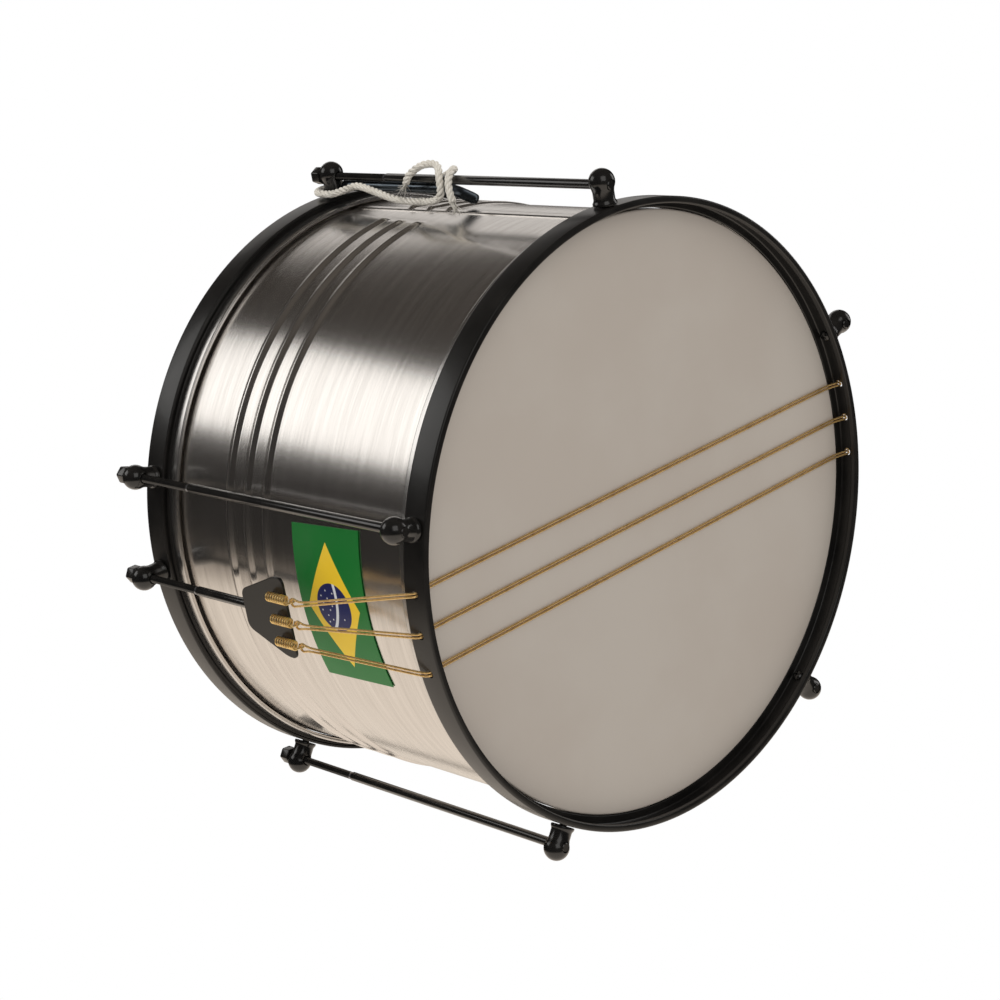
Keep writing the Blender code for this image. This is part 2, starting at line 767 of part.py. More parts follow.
def build_key():
    """A round bar bent at a right angle: its long arm lies behind and below the top rod."""
    height = ROD_RADIUS - math.sqrt((ROD_DIAMETER / 2 + KEY_DIAMETER / 2 + GAP) ** 2 - KEY_SIDE ** 2)
    corner = Vector((KEY_SIDE, KEY_FRONT_DEPTH, height))
    across = Vector((math.cos(KEY_SLOPE), 0, -math.sin(KEY_SLOPE)))
    along = Vector((0, 1, 0))
    rear = DRUM_LENGTH - LUG_DEPTH - POST_RADIUS - 1 * MM
    points = [Vector((KEY_SIDE, rear, height))]
    steps = 5
    for step in range(steps + 1):
        turn = math.pi / 2 * step / steps
        inset = KEY_BEND_RADIUS
        points.append(
            corner + along * (inset - inset * math.sin(turn)) + across * (inset - inset * math.cos(turn))
        )
    points.append(corner + across * KEY_ARM)
    tube("tuning_key", points, KEY_DIAMETER, dark_steel(), 3)


def build_cord():
    """One length of cord: round the rear post, forward on both sides of the rod, knotted over it."""
    post_turn = POST_RADIUS + CORD_DIAMETER / 2 + 2 * GAP
    post_height = HOOP_RADIUS + GAP + CORD_DIAMETER / 2 + 0.4 * MM
    knots = [
        (-6.2 * MM, 143 * MM, ROD_RADIUS - 0.7 * MM),
        (-6.0 * MM, 139 * MM, ROD_RADIUS + 3.8 * MM),
        (-3.5 * MM, 132 * MM, ROD_RADIUS + 8.1 * MM),
        (-1.5 * MM, 125 * MM, ROD_RADIUS + 8.8 * MM),
        (-2.5 * MM, 120 * MM, ROD_RADIUS + 7.3 * MM),
        (-5.0 * MM, 117.5 * MM, ROD_RADIUS + 3.3 * MM),
        (-6.2 * MM, 116.5 * MM, ROD_RADIUS - 1.7 * MM),
        (-6.0 * MM, 118 * MM, ROD_RADIUS - 6.7 * MM),
        (-4.4 * MM, 124 * MM, ROD_RADIUS - 9.8 * MM),
        (-4.0 * MM, 133 * MM, ROD_RADIUS - 11 * MM),
        (-4.2 * MM, 147 * MM, ROD_RADIUS - 11 * MM),
        (-4.8 * MM, 158 * MM, ROD_RADIUS - 9.6 * MM),
        (-5.6 * MM, 171 * MM, ROD_RADIUS - 6 * MM),
        (-6.0 * MM, 183 * MM, ROD_RADIUS - 3.4 * MM),
        (-7.4 * MM, 192 * MM, ROD_RADIUS - 5.2 * MM),
        (-post_turn, 202 * MM, post_height),
        (-post_turn, REAR_LUG_DEPTH, post_height),
    ]
    for step in range(1, 8):
        turn = math.pi * step / 8
        knots.append((
            -post_turn * math.cos(turn),
            REAR_LUG_DEPTH + post_turn * math.sin(turn),
            post_height,
        ))
    knots += [
        (post_turn, REAR_LUG_DEPTH, post_height),
        (9.4 * MM, 196 * MM, ROD_RADIUS - 6.6 * MM),
        (9.0 * MM, 175 * MM, ROD_RADIUS - 5.7 * MM),
        (8.8 * MM, 150 * MM, ROD_RADIUS - 4.2 * MM),
        (8.0 * MM, 130 * MM, ROD_RADIUS - 0.7 * MM),
        (5.6 * MM, 119 * MM, ROD_RADIUS + 3 * MM),
        (2.0 * MM, 113.2 * MM, ROD_RADIUS + 5.1 * MM),
        (-2.6 * MM, 111.2 * MM, ROD_RADIUS + 4.4 * MM),
        (-5.6 * MM, 110.4 * MM, ROD_RADIUS + 0.6 * MM),
        (-7.2 * MM, 109.0 * MM, ROD_RADIUS - 4.6 * MM),
        (-8.2 * MM, 106.5 * MM, ROD_RADIUS - 9.7 * MM),
    ]
    route = smooth_route(knots, 5 * MM)
    tube("tie_cord", route, CORD_DIAMETER, cotton(), 1)
    gap = least_self_gap(route, CORD_DIAMETER, 4)
    print(f"tie_cord: {len(route)} points, least gap to itself {gap / MM:.2f} mm")


def build_flag():
    """A thin patch bent to the shell, its long side round the drum and slightly askew."""
    mesh = bpy.data.meshes.new("flag_sticker")
    build = bmesh.new()
    bmesh.ops.create_grid(build, x_segments=12, y_segments=2, size=0.5)
    skin = SHELL_RADIUS + GAP
    tilt = Matrix.Rotation(FLAG_TILT, 2)
    for dot in build.verts:
        flat = tilt @ Vector((dot.co.x * FLAG_LENGTH, dot.co.y * FLAG_WIDTH))
        dot.co = at_angle(skin, FLAG_DEPTH + flat.y, FLAG_ANGLE + flat.x / SHELL_RADIUS)
    bmesh.ops.recalc_face_normals(build, faces=build.faces)
    build.to_mesh(mesh)
    build.free()
    sticker = bpy.data.objects.new("flag_sticker", mesh)
    link(sticker, flag_green())
    thicken = sticker.modifiers.new("Thickness", "SOLIDIFY")
    thicken.thickness = FLAG_THICKNESS
    thicken.offset = 1 if outward(mesh) else -1
    thicken.use_even_offset = True


def outward(mesh):
    """Whether the patch's faces point away from the drum's axis."""
    middle = mesh.polygons[len(mesh.polygons) // 2]
    radial = Vector((middle.center.x, 0, middle.center.z))
    return middle.normal.dot(radial) > 0


def centre_sideways():
    """Moves the drum along X until its left and right reach are the same."""
    bpy.context.view_layer.update()
    graph = bpy.context.evaluated_depsgraph_get()
    reach = []
    for thing in PARTS.objects:
        if thing.type != "EMPTY":
            shape = thing.evaluated_get(graph).to_mesh()
            reach += [(thing.matrix_world @ dot.co).x for dot in shape.vertices]
            thing.evaluated_get(graph).to_mesh_clear()
    DRUM.location.x -= (min(reach) + max(reach)) / 2
    print(f"drum axis at x {DRUM.location.x / MM:.3f} mm")


def main():
    global PARTS, CUTTERS, DRUM
    clear_scene()
    PARTS = new_collection("caixa")
    CUTTERS = new_collection("caixa_cutters")
    DRUM = bpy.data.objects.new("drum", None)
    PARTS.objects.link(DRUM)
    DRUM.location = DRUM_PLACE
    DRUM.rotation_euler = (0, ROLL, 0)
    build_shell()
    build_heads()
    build_hoops()
    build_posts()
    build_rods()
    build_plate()
    build_springs()
    build_strings()
    build_key()
    build_cord()
    build_flag()
    centre_sideways()


main()
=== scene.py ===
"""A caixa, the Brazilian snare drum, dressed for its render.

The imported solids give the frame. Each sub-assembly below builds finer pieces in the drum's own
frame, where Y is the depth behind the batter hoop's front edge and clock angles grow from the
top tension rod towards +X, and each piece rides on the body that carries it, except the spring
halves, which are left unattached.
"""

import logging
import math
from dataclasses import dataclass, field
from enum import Enum
from typing import Iterable, Sequence

import bmesh
import bpy
import numpy as np
from mathutils import Matrix, Vector


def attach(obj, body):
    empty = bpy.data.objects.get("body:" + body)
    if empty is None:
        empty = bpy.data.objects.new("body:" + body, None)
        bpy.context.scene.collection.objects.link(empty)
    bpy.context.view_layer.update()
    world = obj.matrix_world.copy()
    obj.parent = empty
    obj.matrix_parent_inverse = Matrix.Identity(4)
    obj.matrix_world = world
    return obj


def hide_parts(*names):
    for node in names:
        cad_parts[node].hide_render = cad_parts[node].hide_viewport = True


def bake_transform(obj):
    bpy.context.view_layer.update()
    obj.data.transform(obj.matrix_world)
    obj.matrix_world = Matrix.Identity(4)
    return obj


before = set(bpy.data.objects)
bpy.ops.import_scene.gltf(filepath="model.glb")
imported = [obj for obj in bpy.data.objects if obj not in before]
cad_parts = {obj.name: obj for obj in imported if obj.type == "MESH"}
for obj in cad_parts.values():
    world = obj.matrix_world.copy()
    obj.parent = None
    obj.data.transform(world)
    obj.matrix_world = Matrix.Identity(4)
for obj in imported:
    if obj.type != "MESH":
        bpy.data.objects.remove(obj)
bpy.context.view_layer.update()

LOG = logging.getLogger("caixa")
MM = 0.001
GAP = 0.3 * MM
MERGE = 1e-7
SHARP_ANGLE = math.radians(40)
STUDIO_WHITE = (1.0, 1.0, 1.0, 1.0)

Profile = list[tuple[float, float]]
Colour = tuple[float, float, float]


class Body(str, Enum):
    """The rigid bodies that pieces ride on."""

    DRUM = "drum"
    BATTER_FRAME = "batter_frame"
    SNARE_NUT = "snare_nut"
    SNARE_TENSIONER = "snare_tensioner"


class Slot(str, Enum):
    """The record's material slots."""

    BLACK_PAINT = "black_paint"
    BARE_ALUMINIUM = "bare_aluminium"
    BRASS_WIRE = "brass_wire"
    HEAD_FILM = "head_film"
    KEY_STEEL = "key_steel"
    COTTON_CORD = "cotton_cord"
    FLAG_PRINT = "flag_print"


@dataclass(frozen=True)
class DrumFrame:
    """The drum's own frame, rolled onto one row of posts."""

    place: tuple[float, float, float] = (7.769 * MM, -112.55 * MM, 159.781 * MM)
    roll: float = math.radians(-9)
    length: float = 218 * MM
    lugs: int = 5
    rod_radius: float = 170.2 * MM
    snare_angle: float = math.radians(-90)

    @property
    def matrix(self) -> Matrix:
        """The drum's placement in the row frame."""
        return Matrix.Translation(self.place) @ Matrix.Rotation(self.roll, 4, "Y")

    def at(self, radius: float, depth: float, angle: float, side: float = 0.0) -> Vector:
        """A point in the drum's frame.

        Args:
            radius: Distance out from the axis.
            depth: Distance behind the batter hoop's front edge.
            angle: Clock angle from the top rod.
            side: Offset along the rim.

        Returns:
            The point.
        """
        return Vector((
            radius * math.sin(angle) + side * math.cos(angle),
            depth,
            radius * math.cos(angle) - side * math.sin(angle),
        ))

    def lug_angles(self) -> list[float]:
        """The clock angles of the five lugs."""
        return [2 * math.pi * n / self.lugs for n in range(self.lugs)]


# Mesh making


def turn_faces_out(mesh: bpy.types.Mesh, merge: float | None = None) -> None:
    """Turns a mesh's normals outwards and smooths its shading.

    Args:
        mesh: The mesh.
        merge: How near corners are joined first, or None to leave them.
    """
    build = bmesh.new()
    build.from_mesh(mesh)
    if merge is not None:
        bmesh.ops.remove_doubles(build, verts=build.verts, dist=merge)
    bmesh.ops.recalc_face_normals(build, faces=build.faces)
    build.to_mesh(mesh)
    build.free()
    mesh.shade_smooth()


def link_mesh(name: str, mesh: bpy.types.Mesh, matrix: Matrix) -> bpy.types.Object:
    """Puts a mesh into the scene.

    Args:
        name: The object's name.
        mesh: Its mesh.
        matrix: Its placement.

    Returns:
        The new object.
    """
    thing = bpy.data.objects.new(name, mesh)
    bpy.context.scene.collection.objects.link(thing)
    thing.matrix_world = matrix
    return thing


def new_object(name: str, points: Sequence, faces: Sequence, matrix: Matrix) -> bpy.types.Object:
    """A smooth-shaded object from points and faces, with its normals turned outwards.

    Args:
        name: The object's name.
        points: Corner points in the object's own frame.
        faces: Corner numbers of each face.
        matrix: The object's placement.

    Returns:
        The new object.
    """
    mesh = bpy.data.meshes.new(name)
    mesh.from_pydata([tuple(p) for p in points], [], [tuple(f) for f in faces])
    turn_faces_out(mesh, MERGE)
    mesh.set_sharp_from_angle(angle=SHARP_ANGLE)
    return link_mesh(name, mesh, matrix)


def soften(profile: Profile, radius: float, closed: bool, steps: int = 4) -> Profile:
    """Rounds the corners of a profile.

    Args:
        profile: The corner points.
        radius: How far from a corner its rounding starts.
        closed: Whether the last point joins the first.
        steps: Spans in each rounded corner.

    Returns:
        The rounded profile.
    """
    rounded: Profile = []
    count = len(profile)
    for index, corner in enumerate(profile):
        if not closed and index in (0, count - 1):
            rounded.append(corner)
            continue
        here = Vector(corner)
        back = Vector(profile[index - 1]) - here
        ahead = Vector(profile[(index + 1) % count]) - here
        start = here + back.normalized() * min(radius, back.length * 0.45)
        end = here + ahead.normalized() * min(radius, ahead.length * 0.45)
        for step in range(steps + 1):
            share = step / steps
            dot = start * (1 - share) ** 2 + here * 2 * share * (1 - share) + end * share ** 2
            rounded.append((dot.x, dot.y))
    return rounded


def turned(
    name: str,
    profile: Profile,
    steps: int,
    closed: bool,
    matrix: Matrix,
) -> bpy.types.Object:
    """A shape turned about its own Y from (radius, depth) points.

    Args:
        name: The object's name.
        profile: The points to turn.
        steps: Spans in the full turn.
        closed: Whether the profile is a closed ring.
        matrix: The object's placement.

    Returns:
        The turned object.
    """
    rows = len(profile)
    points = []
    for step in range(steps):
        turn = 2 * math.pi * step / steps
        for radius, depth in profile:
            points.append((radius * math.sin(turn), depth, radius * math.cos(turn)))
    spans = rows if closed else rows - 1
    faces = []
    for step in range(steps):
        near = step * rows
        far = (step + 1) % steps * rows
        for row in range(spans):
            after = (row + 1) % rows
            faces.append((near + row, near + after, far + after, far + row))
    return new_object(name, points, faces, matrix)


def path_frames(points: np.ndarray) -> tuple[np.ndarray, np.ndarray, np.ndarray]:
    """Directions that travel along a path without twisting.

    Args:
        points: The path's points, one a row.

    Returns:
        The tangents and the two directions across the path.
    """
    tangents = np.gradient(points, axis=0)
    tangents /= np.linalg.norm(tangents, axis=1)[:, None]
    helper = np.array([0.31, 0.12, 0.94])
    normal = np.cross(tangents[0], helper)
    normals = []
    for tangent in tangents:
        normal = normal - tangent * np.dot(normal, tangent)
        normal = normal / np.linalg.norm(normal)
        normals.append(normal)
    normals = np.array(normals)
    return tangents, normals, np.cross(tangents, normals)


def sweep_data(points: np.ndarray, radii: np.ndarray, sides: int) -> tuple[list, list, list]:
    """Corners, faces and texture coordinates of a capped tube along a path.

    Args:
        points: The path's points.
        radii: The tube's radius at each point.
        sides: Corners in each ring.

    Returns:
        The corners, the faces and each corner's place along the tube.
    """
    _, across, over = path_frames(points)
    corners, faces, places = [], [], []
    lengths = np.concatenate([[0], np.cumsum(np.linalg.norm(np.diff(points, axis=0), axis=1))])
    for row, centre in enumerate(points):
        for side in range(sides):
            turn = 2 * math.pi * side / sides
            out = across[row] * math.cos(turn) + over[row] * math.sin(turn)
            corners.append(centre + out * radii[row])
            places.append((side / sides, lengths[row]))
    for row in range(len(points) - 1):
        for side in range(sides):
            after = (side + 1) % sides
            near = row * sides
            far = near + sides
            faces.append((near + side, near + after, far + after, far + side))
    last = (len(points) - 1) * sides
    faces.append(tuple(range(sides)))
    faces.append(tuple(last + side for side in range(sides)))
    return corners, faces, places


def swept(
    name: str,
    paths: Iterable[tuple[np.ndarray, np.ndarray]],
    sides: int,
    matrix: Matrix,
) -> bpy.types.Object:
    """One object of one or more tubes, with texture coordinates along each.

    Args:
        name: The object's name.
        paths: Each tube's points and radii.
        sides: Corners in each ring.
        matrix: The object's placement.

    Returns:
        The object.
    """
    corners, faces, places = [], [], []
    for points, radii in paths:
        more, spans, along = sweep_data(points, radii, sides)
        first = len(corners)
        corners += more
        places += along
        faces += [tuple(first + corner for corner in span) for span in spans]
    mesh = bpy.data.meshes.new(name)
    mesh.from_pydata([tuple(c) for c in corners], [], faces)
    layer = mesh.uv_layers.new(name="length")
    for loop in mesh.loops:
        layer.data[loop.index].uv = places[loop.vertex_index]
    turn_faces_out(mesh)
    return link_mesh(name, mesh, matrix)


def smooth_route(knots: Iterable, spacing: float) -> np.ndarray:
    """Points about one spacing apart on a curve through the knots.

    Args:
        knots: The points to pass through.
        spacing: The wanted distance between points.

    Returns:
        The points, one a row.
    """
    dots = [Vector(k) for k in knots]
    ends = [dots[0] * 2 - dots[1], *dots, dots[-1] * 2 - dots[-2]]
    route = [dots[0]]
    for before, start, end, after in zip(ends, ends[1:], ends[2:], ends[3:]):
        count = max(1, round((end - start).length / spacing))
        for step in range(1, count + 1):
            share = step / count
            square = share * share
            cube = square * share
            route.append(
                start * (2 * cube - 3 * square + 1)
                + (end - before) / 2 * (cube - 2 * square + share)
                + end * (3 * square - 2 * cube)
                + (after - start) / 2 * (cube - square)
            )
    return np.array([tuple(dot) for dot in route])


def cut_holes(thing: bpy.types.Object, cutter: bpy.types.Object) -> None:
    """Cuts one object's shape out of another, and removes the cutter.

    Args:
        thing: The piece that is cut.
        cutter: The shape that is taken away.
    """
    change = thing.modifiers.new("Holes", "BOOLEAN")
    change.operation = "DIFFERENCE"
    change.solver = "EXACT"
    change.object = cutter
    apply_modifiers(thing)
    bpy.data.objects.remove(cutter, do_unlink=True)


def apply_modifiers(thing: bpy.types.Object) -> None:
    """Gives an object the mesh that its modifiers make.

    Args:
        thing: The object.
    """
    bpy.context.view_layer.update()
    graph = bpy.context.evaluated_depsgraph_get()
    mesh = bpy.data.meshes.new_from_object(thing.evaluated_get(graph), depsgraph=graph)
    thing.modifiers.clear()
    thing.data = mesh
    mesh.shade_smooth()
    mesh.set_sharp_from_angle(angle=SHARP_ANGLE)


def rod_cutter(name: str, radius: float, length: float, place: Matrix) -> bpy.types.Object:
    """A closed cutter cylinder about its own Y.

    Args:
        name: The cutter's name.
        radius: The hole's radius.
        length: The cutter's length.
        place: The cutter's placement.

    Returns:
        The cutter.
    """
    half = length / 2
    return turned(name, [(0, -half), (radius, -half), (radius, half), (0, half)], 24, False, place)


# Finishes


class Graph:
    """A small hand for wiring a node tree."""

    def __init__(self, tree: bpy.types.NodeTree) -> None:
        """Keeps the tree that nodes go into."""
        self.tree = tree

    def node(self, kind: str, **settings: object) -> bpy.types.Node:
        """A new node with its settings.

        Args:
            kind: The node's type.
            **settings: Attribute values.

        Returns:
            The node.
        """
        made = self.tree.nodes.new(kind)
        for key, value in settings.items():
            setattr(made, key, value)
        return made

    def feed(self, source: object, target: bpy.types.NodeSocket) -> None:
        """Links a socket, or sets a plain value.

        Args:
            source: A socket or a value.
            target: The socket to feed.
        """
        if isinstance(source, bpy.types.NodeSocket):
            self.tree.links.new(source, target)
        else:
            target.default_value = source

    def math(self, operation: str, first: object, second: object = 0.0) -> bpy.types.NodeSocket:
        """The result of one sum on two values.

        Args:
            operation: The sum's name.
            first: The first value.
            second: The second value.

        Returns:
            The result's socket.
        """
        made = self.node("ShaderNodeMath", operation=operation)
        self.feed(first, made.inputs[0])
        self.feed(second, made.inputs[1])
        return made.outputs[0]

    def mix(self, share: object, first: object, second: object) -> bpy.types.NodeSocket:
        """A blend of two colours.

        Args:
            share: How much of the second shows.
            first: The first colour.
            second: The second colour.

        Returns:
            The blend's socket.
        """
        made = self.node("ShaderNodeMix", data_type="RGBA")
        self.feed(share, made.inputs[0])
        self.feed(first, made.inputs[6])
        self.feed(second, made.inputs[7])
        return made.outputs[2]

    def span(
        self, value: object, low: float, high: float, out_low: float, out_high: float
    ) -> bpy.types.NodeSocket:
        """A value moved from one range to another, clamped.

        Args:
            value: The value.
            low: The first range's start.
            high: The first range's end.
            out_low: The second range's start.
            out_high: The second range's end.

        Returns:
            The moved value's socket.
        """
        made = self.node("ShaderNodeMapRange", interpolation_type="SMOOTHSTEP")
        self.feed(value, made.inputs[0])
        for index, limit in enumerate((low, high, out_low, out_high), 1):
            made.inputs[index].default_value = limit
        return made.outputs[0]

    def noise(
        self, vector: object, scale: object, detail: float, roughness: float = 0.55
    ) -> bpy.types.NodeSocket:
        """Plain noise.

        Args:
            vector: Where it is sampled.
            scale: Its scale.
            detail: Its octaves.
            roughness: How strong its fine octaves are.

        Returns:
            The noise value's socket.
        """
        made = self.node("ShaderNodeTexNoise")
        self.feed(vector, made.inputs["Vector"])
        self.feed(scale, made.inputs["Scale"])
        made.inputs["Detail"].default_value = detail
        made.inputs["Roughness"].default_value = roughness
        return made.outputs["Fac"]


def new_group(name: str, inputs: dict[str, float], outputs: Iterable[str]) -> tuple:
    """An empty node group with float sockets.

    Args:
        name: The group's name.
        inputs: Input names and their values.
        outputs: Output names.

    Returns:
        The group, its wiring hand, its input node and its output node.
    """
    group = bpy.data.node_groups.new(name, "ShaderNodeTree")
    for label, value in inputs.items():
        socket = group.interface.new_socket(name=label, in_out="INPUT", socket_type="NodeSocketFloat")
        socket.default_value = value
    for label in outputs:
        group.interface.new_socket(name=label, in_out="OUTPUT", socket_type="NodeSocketFloat")
    graph = Graph(group)
    return group, graph, graph.node("NodeGroupInput"), graph.node("NodeGroupOutput")


def drum_coordinates(graph: Graph) -> bpy.types.NodeSocket:
    """The shaded point in the drum's own frame, whatever the drum's roll.

    Args:
        graph: The wiring hand.

    Returns:
        The coordinates' socket.
    """
    drum = DrumFrame()
    unroll = graph.node("ShaderNodeMapping", vector_type="TEXTURE")
    graph.feed(graph.node("ShaderNodeTexCoord").outputs["Object"], unroll.inputs["Vector"])
    unroll.inputs["Location"].default_value = drum.place
    unroll.inputs["Rotation"].default_value = (0.0, drum.roll, 0.0)
    return unroll.outputs[0]


def make_brushing() -> bpy.types.NodeTree:
    """Fine lines that run round the drum's axis.

    Returns:
        The group, with a Height, a broad Streak and a Smudge output.
    """
    group, graph, given, out = new_group(
        "brushing round the drum",
        {"Line Scale": 4000.0, "Line Length": 6.0},
        ("Height", "Streak", "Smudge"),
    )
    place = drum_coordinates(graph)
    split = graph.node("ShaderNodeSeparateXYZ")
    graph.feed(place, split.inputs[0])
    angle = graph.math("ARCTAN2", split.outputs[0], split.outputs[2])
    join = graph.node("ShaderNodeCombineXYZ")
    graph.feed(graph.math("MULTIPLY", angle, given.outputs["Line Length"]), join.inputs[0])
    graph.feed(graph.math("MULTIPLY", split.outputs[1], given.outputs["Line Scale"]), join.inputs[1])
    fine = graph.noise(join.outputs[0], 1.0, 3.0, 0.7)
    broad_join = graph.node("ShaderNodeCombineXYZ")
    graph.feed(graph.math("MULTIPLY", angle, 1.5), broad_join.inputs[0])
    graph.feed(graph.math("MULTIPLY", split.outputs[1], 260.0), broad_join.inputs[1])
    broad = graph.noise(broad_join.outputs[0], 1.0, 4.0)
    smudge = graph.noise(place, 22.0, 5.0)
    graph.feed(fine, out.inputs["Height"])
    graph.feed(broad, out.inputs["Streak"])
    graph.feed(smudge, out.inputs["Smudge"])
    return group


def make_wear() -> bpy.types.NodeTree:
    """Soft patches, fine specks and small scratches of a handled surface.

    Returns:
        The group, with a Patch, a Speck and a Scratch output.
    """
    group, graph, given, out = new_group(
        "handled wear", {"Scale": 60.0, "Scratch Amount": 0.5}, ("Patch", "Speck", "Scratch")
    )
    place = drum_coordinates(graph)
    patch = graph.noise(place, given.outputs["Scale"], 5.0)
    fine_scale = graph.math("MULTIPLY", given.outputs["Scale"], 22.0)
    speck = graph.noise(place, fine_scale, 2.0)
    stretch = graph.node("ShaderNodeMapping")
    graph.feed(place, stretch.inputs["Vector"])
    stretch.inputs["Scale"].default_value = (9.0, 1.0, 6.0)
    stretch.inputs["Rotation"].default_value = (0.4, 0.2, 0.7)
    lines = graph.noise(stretch.outputs[0], graph.math("MULTIPLY", given.outputs["Scale"], 3.0), 2.0)
    thin = graph.span(lines, 0.66, 0.70, 0.0, 1.0)
    graph.feed(patch, out.inputs["Patch"])
    graph.feed(speck, out.inputs["Speck"])
    graph.feed(graph.math("MULTIPLY", thin, given.outputs["Scratch Amount"]), out.inputs["Scratch"])
    return group


@dataclass(frozen=True)
class Finish:
    """A finish: its colours, sheen and the values of its surface effects."""

    name: str
    base: Colour
    second: Colour
    roughness: float
    rough_swing: float
    metallic: float
    bump: float
    scale: float
    coat: float = 0.0
    specular: float = 0.5

    def begin(self) -> tuple[bpy.types.Material, Graph, bpy.types.Node]:
        """A new material with its main shader's plain values.

        Returns:
            The material, its wiring hand and its shader.
        """
        made = bpy.data.materials.new(self.name)
        made.use_nodes = True
        graph = Graph(made.node_tree)
        shader = made.node_tree.nodes["Principled BSDF"]
        shader.inputs["Metallic"].default_value = self.metallic
        shader.inputs["Coat Weight"].default_value = self.coat
        shader.inputs["Coat Roughness"].default_value = 0.12
        shader.inputs["Specular IOR Level"].default_value = self.specular
        return made, graph, shader

    def raise_by(self, graph: Graph, shader: bpy.types.Node, height: object, distance: float) -> None:
        """Feeds a height to the shader's normal.

        Args:
            graph: The wiring hand.
            shader: The main shader.
            height: The height's socket.
            distance: How far a full step stands out.
        """
        bump = graph.node("ShaderNodeBump")
        bump.inputs["Strength"].default_value = self.bump
        bump.inputs["Distance"].default_value = distance
        graph.feed(height, bump.inputs["Height"])
        graph.feed(bump.outputs[0], shader.inputs["Normal"])

    def colours(self) -> tuple[tuple, tuple]:
        """The two colours with an alpha of 1."""
        return (*self.base, 1.0), (*self.second, 1.0)


@dataclass(frozen=True)
class HandledFinish(Finish):
    """A painted, drawn or moulded finish with patches, specks and scratches."""

    scratch: float = 0.5

    def material(self, wear: bpy.types.NodeTree) -> bpy.types.Material:
        """The finished material.

        Args:
            wear: The wear group.

        Returns:
            The material.
        """
        made, graph, shader = self.begin()
        effect = graph.node("ShaderNodeGroup", node_tree=wear)
        effect.inputs["Scale"].default_value = self.scale
        effect.inputs["Scratch Amount"].default_value = self.scratch
        base, second = self.colours()
        patch = graph.span(effect.outputs["Patch"], 0.35, 0.7, 0.0, 1.0)
        share = graph.math("MAXIMUM", patch, effect.outputs["Scratch"])
        graph.feed(graph.mix(share, base, second), shader.inputs["Base Color"])
        rough = graph.math("MULTIPLY", graph.math("SUBTRACT", effect.outputs["Patch"], 0.5), self.rough_swing)
        graph.feed(graph.math("ADD", rough, self.roughness), shader.inputs["Roughness"])
        self.raise_by(graph, shader, effect.outputs["Speck"], 0.05 * MM)
        return made


@dataclass(frozen=True)
class BrushedFinish(Finish):
    """Bare metal with fine lines round the drum."""

    length: float = 6.0

    def material(self, brushing: bpy.types.NodeTree, wear: bpy.types.NodeTree) -> bpy.types.Material:
        """The finished material.

        Args:
            brushing: The brushing group.
            wear: The wear group.

        Returns:
            The material.
        """
        made, graph, shader = self.begin()
        effect = graph.node("ShaderNodeGroup", node_tree=brushing)
        effect.inputs["Line Scale"].default_value = self.scale
        effect.inputs["Line Length"].default_value = self.length
        marks = graph.node("ShaderNodeGroup", node_tree=wear)
        marks.inputs["Scale"].default_value = 55.0
        marks.inputs["Scratch Amount"].default_value = 0.25
        base, second = self.colours()
        lines = graph.math("MULTIPLY", effect.outputs["Height"], 0.55)
        tone = graph.math("ADD", lines, graph.math("MULTIPLY", effect.outputs["Streak"], 0.45))
        share = graph.span(tone, 0.35, 0.65, 0.0, 1.0)
        shade = graph.mix(share, base, second)
        dull = graph.math("MULTIPLY", marks.outputs["Scratch"], 0.08)
        graph.feed(graph.mix(dull, shade, (0.25, 0.24, 0.23, 1.0)), shader.inputs["Base Color"])
        swing = graph.math("SUBTRACT", effect.outputs["Smudge"], 0.5)
        rough = graph.math("ADD", graph.math("MULTIPLY", swing, self.rough_swing), self.roughness)
        graph.feed(rough, shader.inputs["Roughness"])
        self.raise_by(graph, shader, effect.outputs["Height"], 0.02 * MM)
        return made


@dataclass(frozen=True)
class TwistedFinish(Finish):
    """A finish with lines that wind along a tube, and painted shade in the low parts between them."""

    winds_per_metre: float = 300.0
    turns: float = 3.0
    # How far painted shade darkens the low parts of the windings.
    groove_shade: float = 0.25

    def material(self, wear: bpy.types.NodeTree) -> bpy.types.Material:
        """The finished material.

        Args:
            wear: The wear group.

        Returns:
            The material.
        """
        made, graph, shader = self.begin()
        place = graph.node("ShaderNodeUVMap", uv_map="length").outputs[0]
        split = graph.node("ShaderNodeSeparateXYZ")
        graph.feed(place, split.inputs[0])
        along = graph.math("MULTIPLY", split.outputs[1], self.winds_per_metre)
        around = graph.math("MULTIPLY", split.outputs[0], self.turns)
        phase = graph.math("MULTIPLY", graph.math("ADD", along, around), 2 * math.pi)
        wave = graph.math("MULTIPLY_ADD", graph.math("SINE", phase), 0.5)
        wave.node.inputs[2].default_value = 0.5
        effect = graph.node("ShaderNodeGroup", node_tree=wear)
        effect.inputs["Scale"].default_value = self.scale
        base, second = self.colours()
        grime = graph.span(effect.outputs["Patch"], 0.4, 0.75, 0.0, 0.6)
        # Painted shade: the low parts of the windings are darkened towards the second colour, as if shade fell
        # in them.
        groove_shade = graph.math("MULTIPLY", graph.math("SUBTRACT", 1.0, wave), self.groove_shade)
        graph.feed(graph.mix(graph.math("MAXIMUM", grime, groove_shade), base, second), shader.inputs["Base Color"])
        swing = graph.math("MULTIPLY", effect.outputs["Patch"], self.rough_swing)
        graph.feed(graph.math("ADD", swing, self.roughness), shader.inputs["Roughness"])
        height = graph.math("ADD", wave, graph.math("MULTIPLY", effect.outputs["Speck"], 0.4))
        self.raise_by(graph, shader, height, 0.15 * MM)
        return made


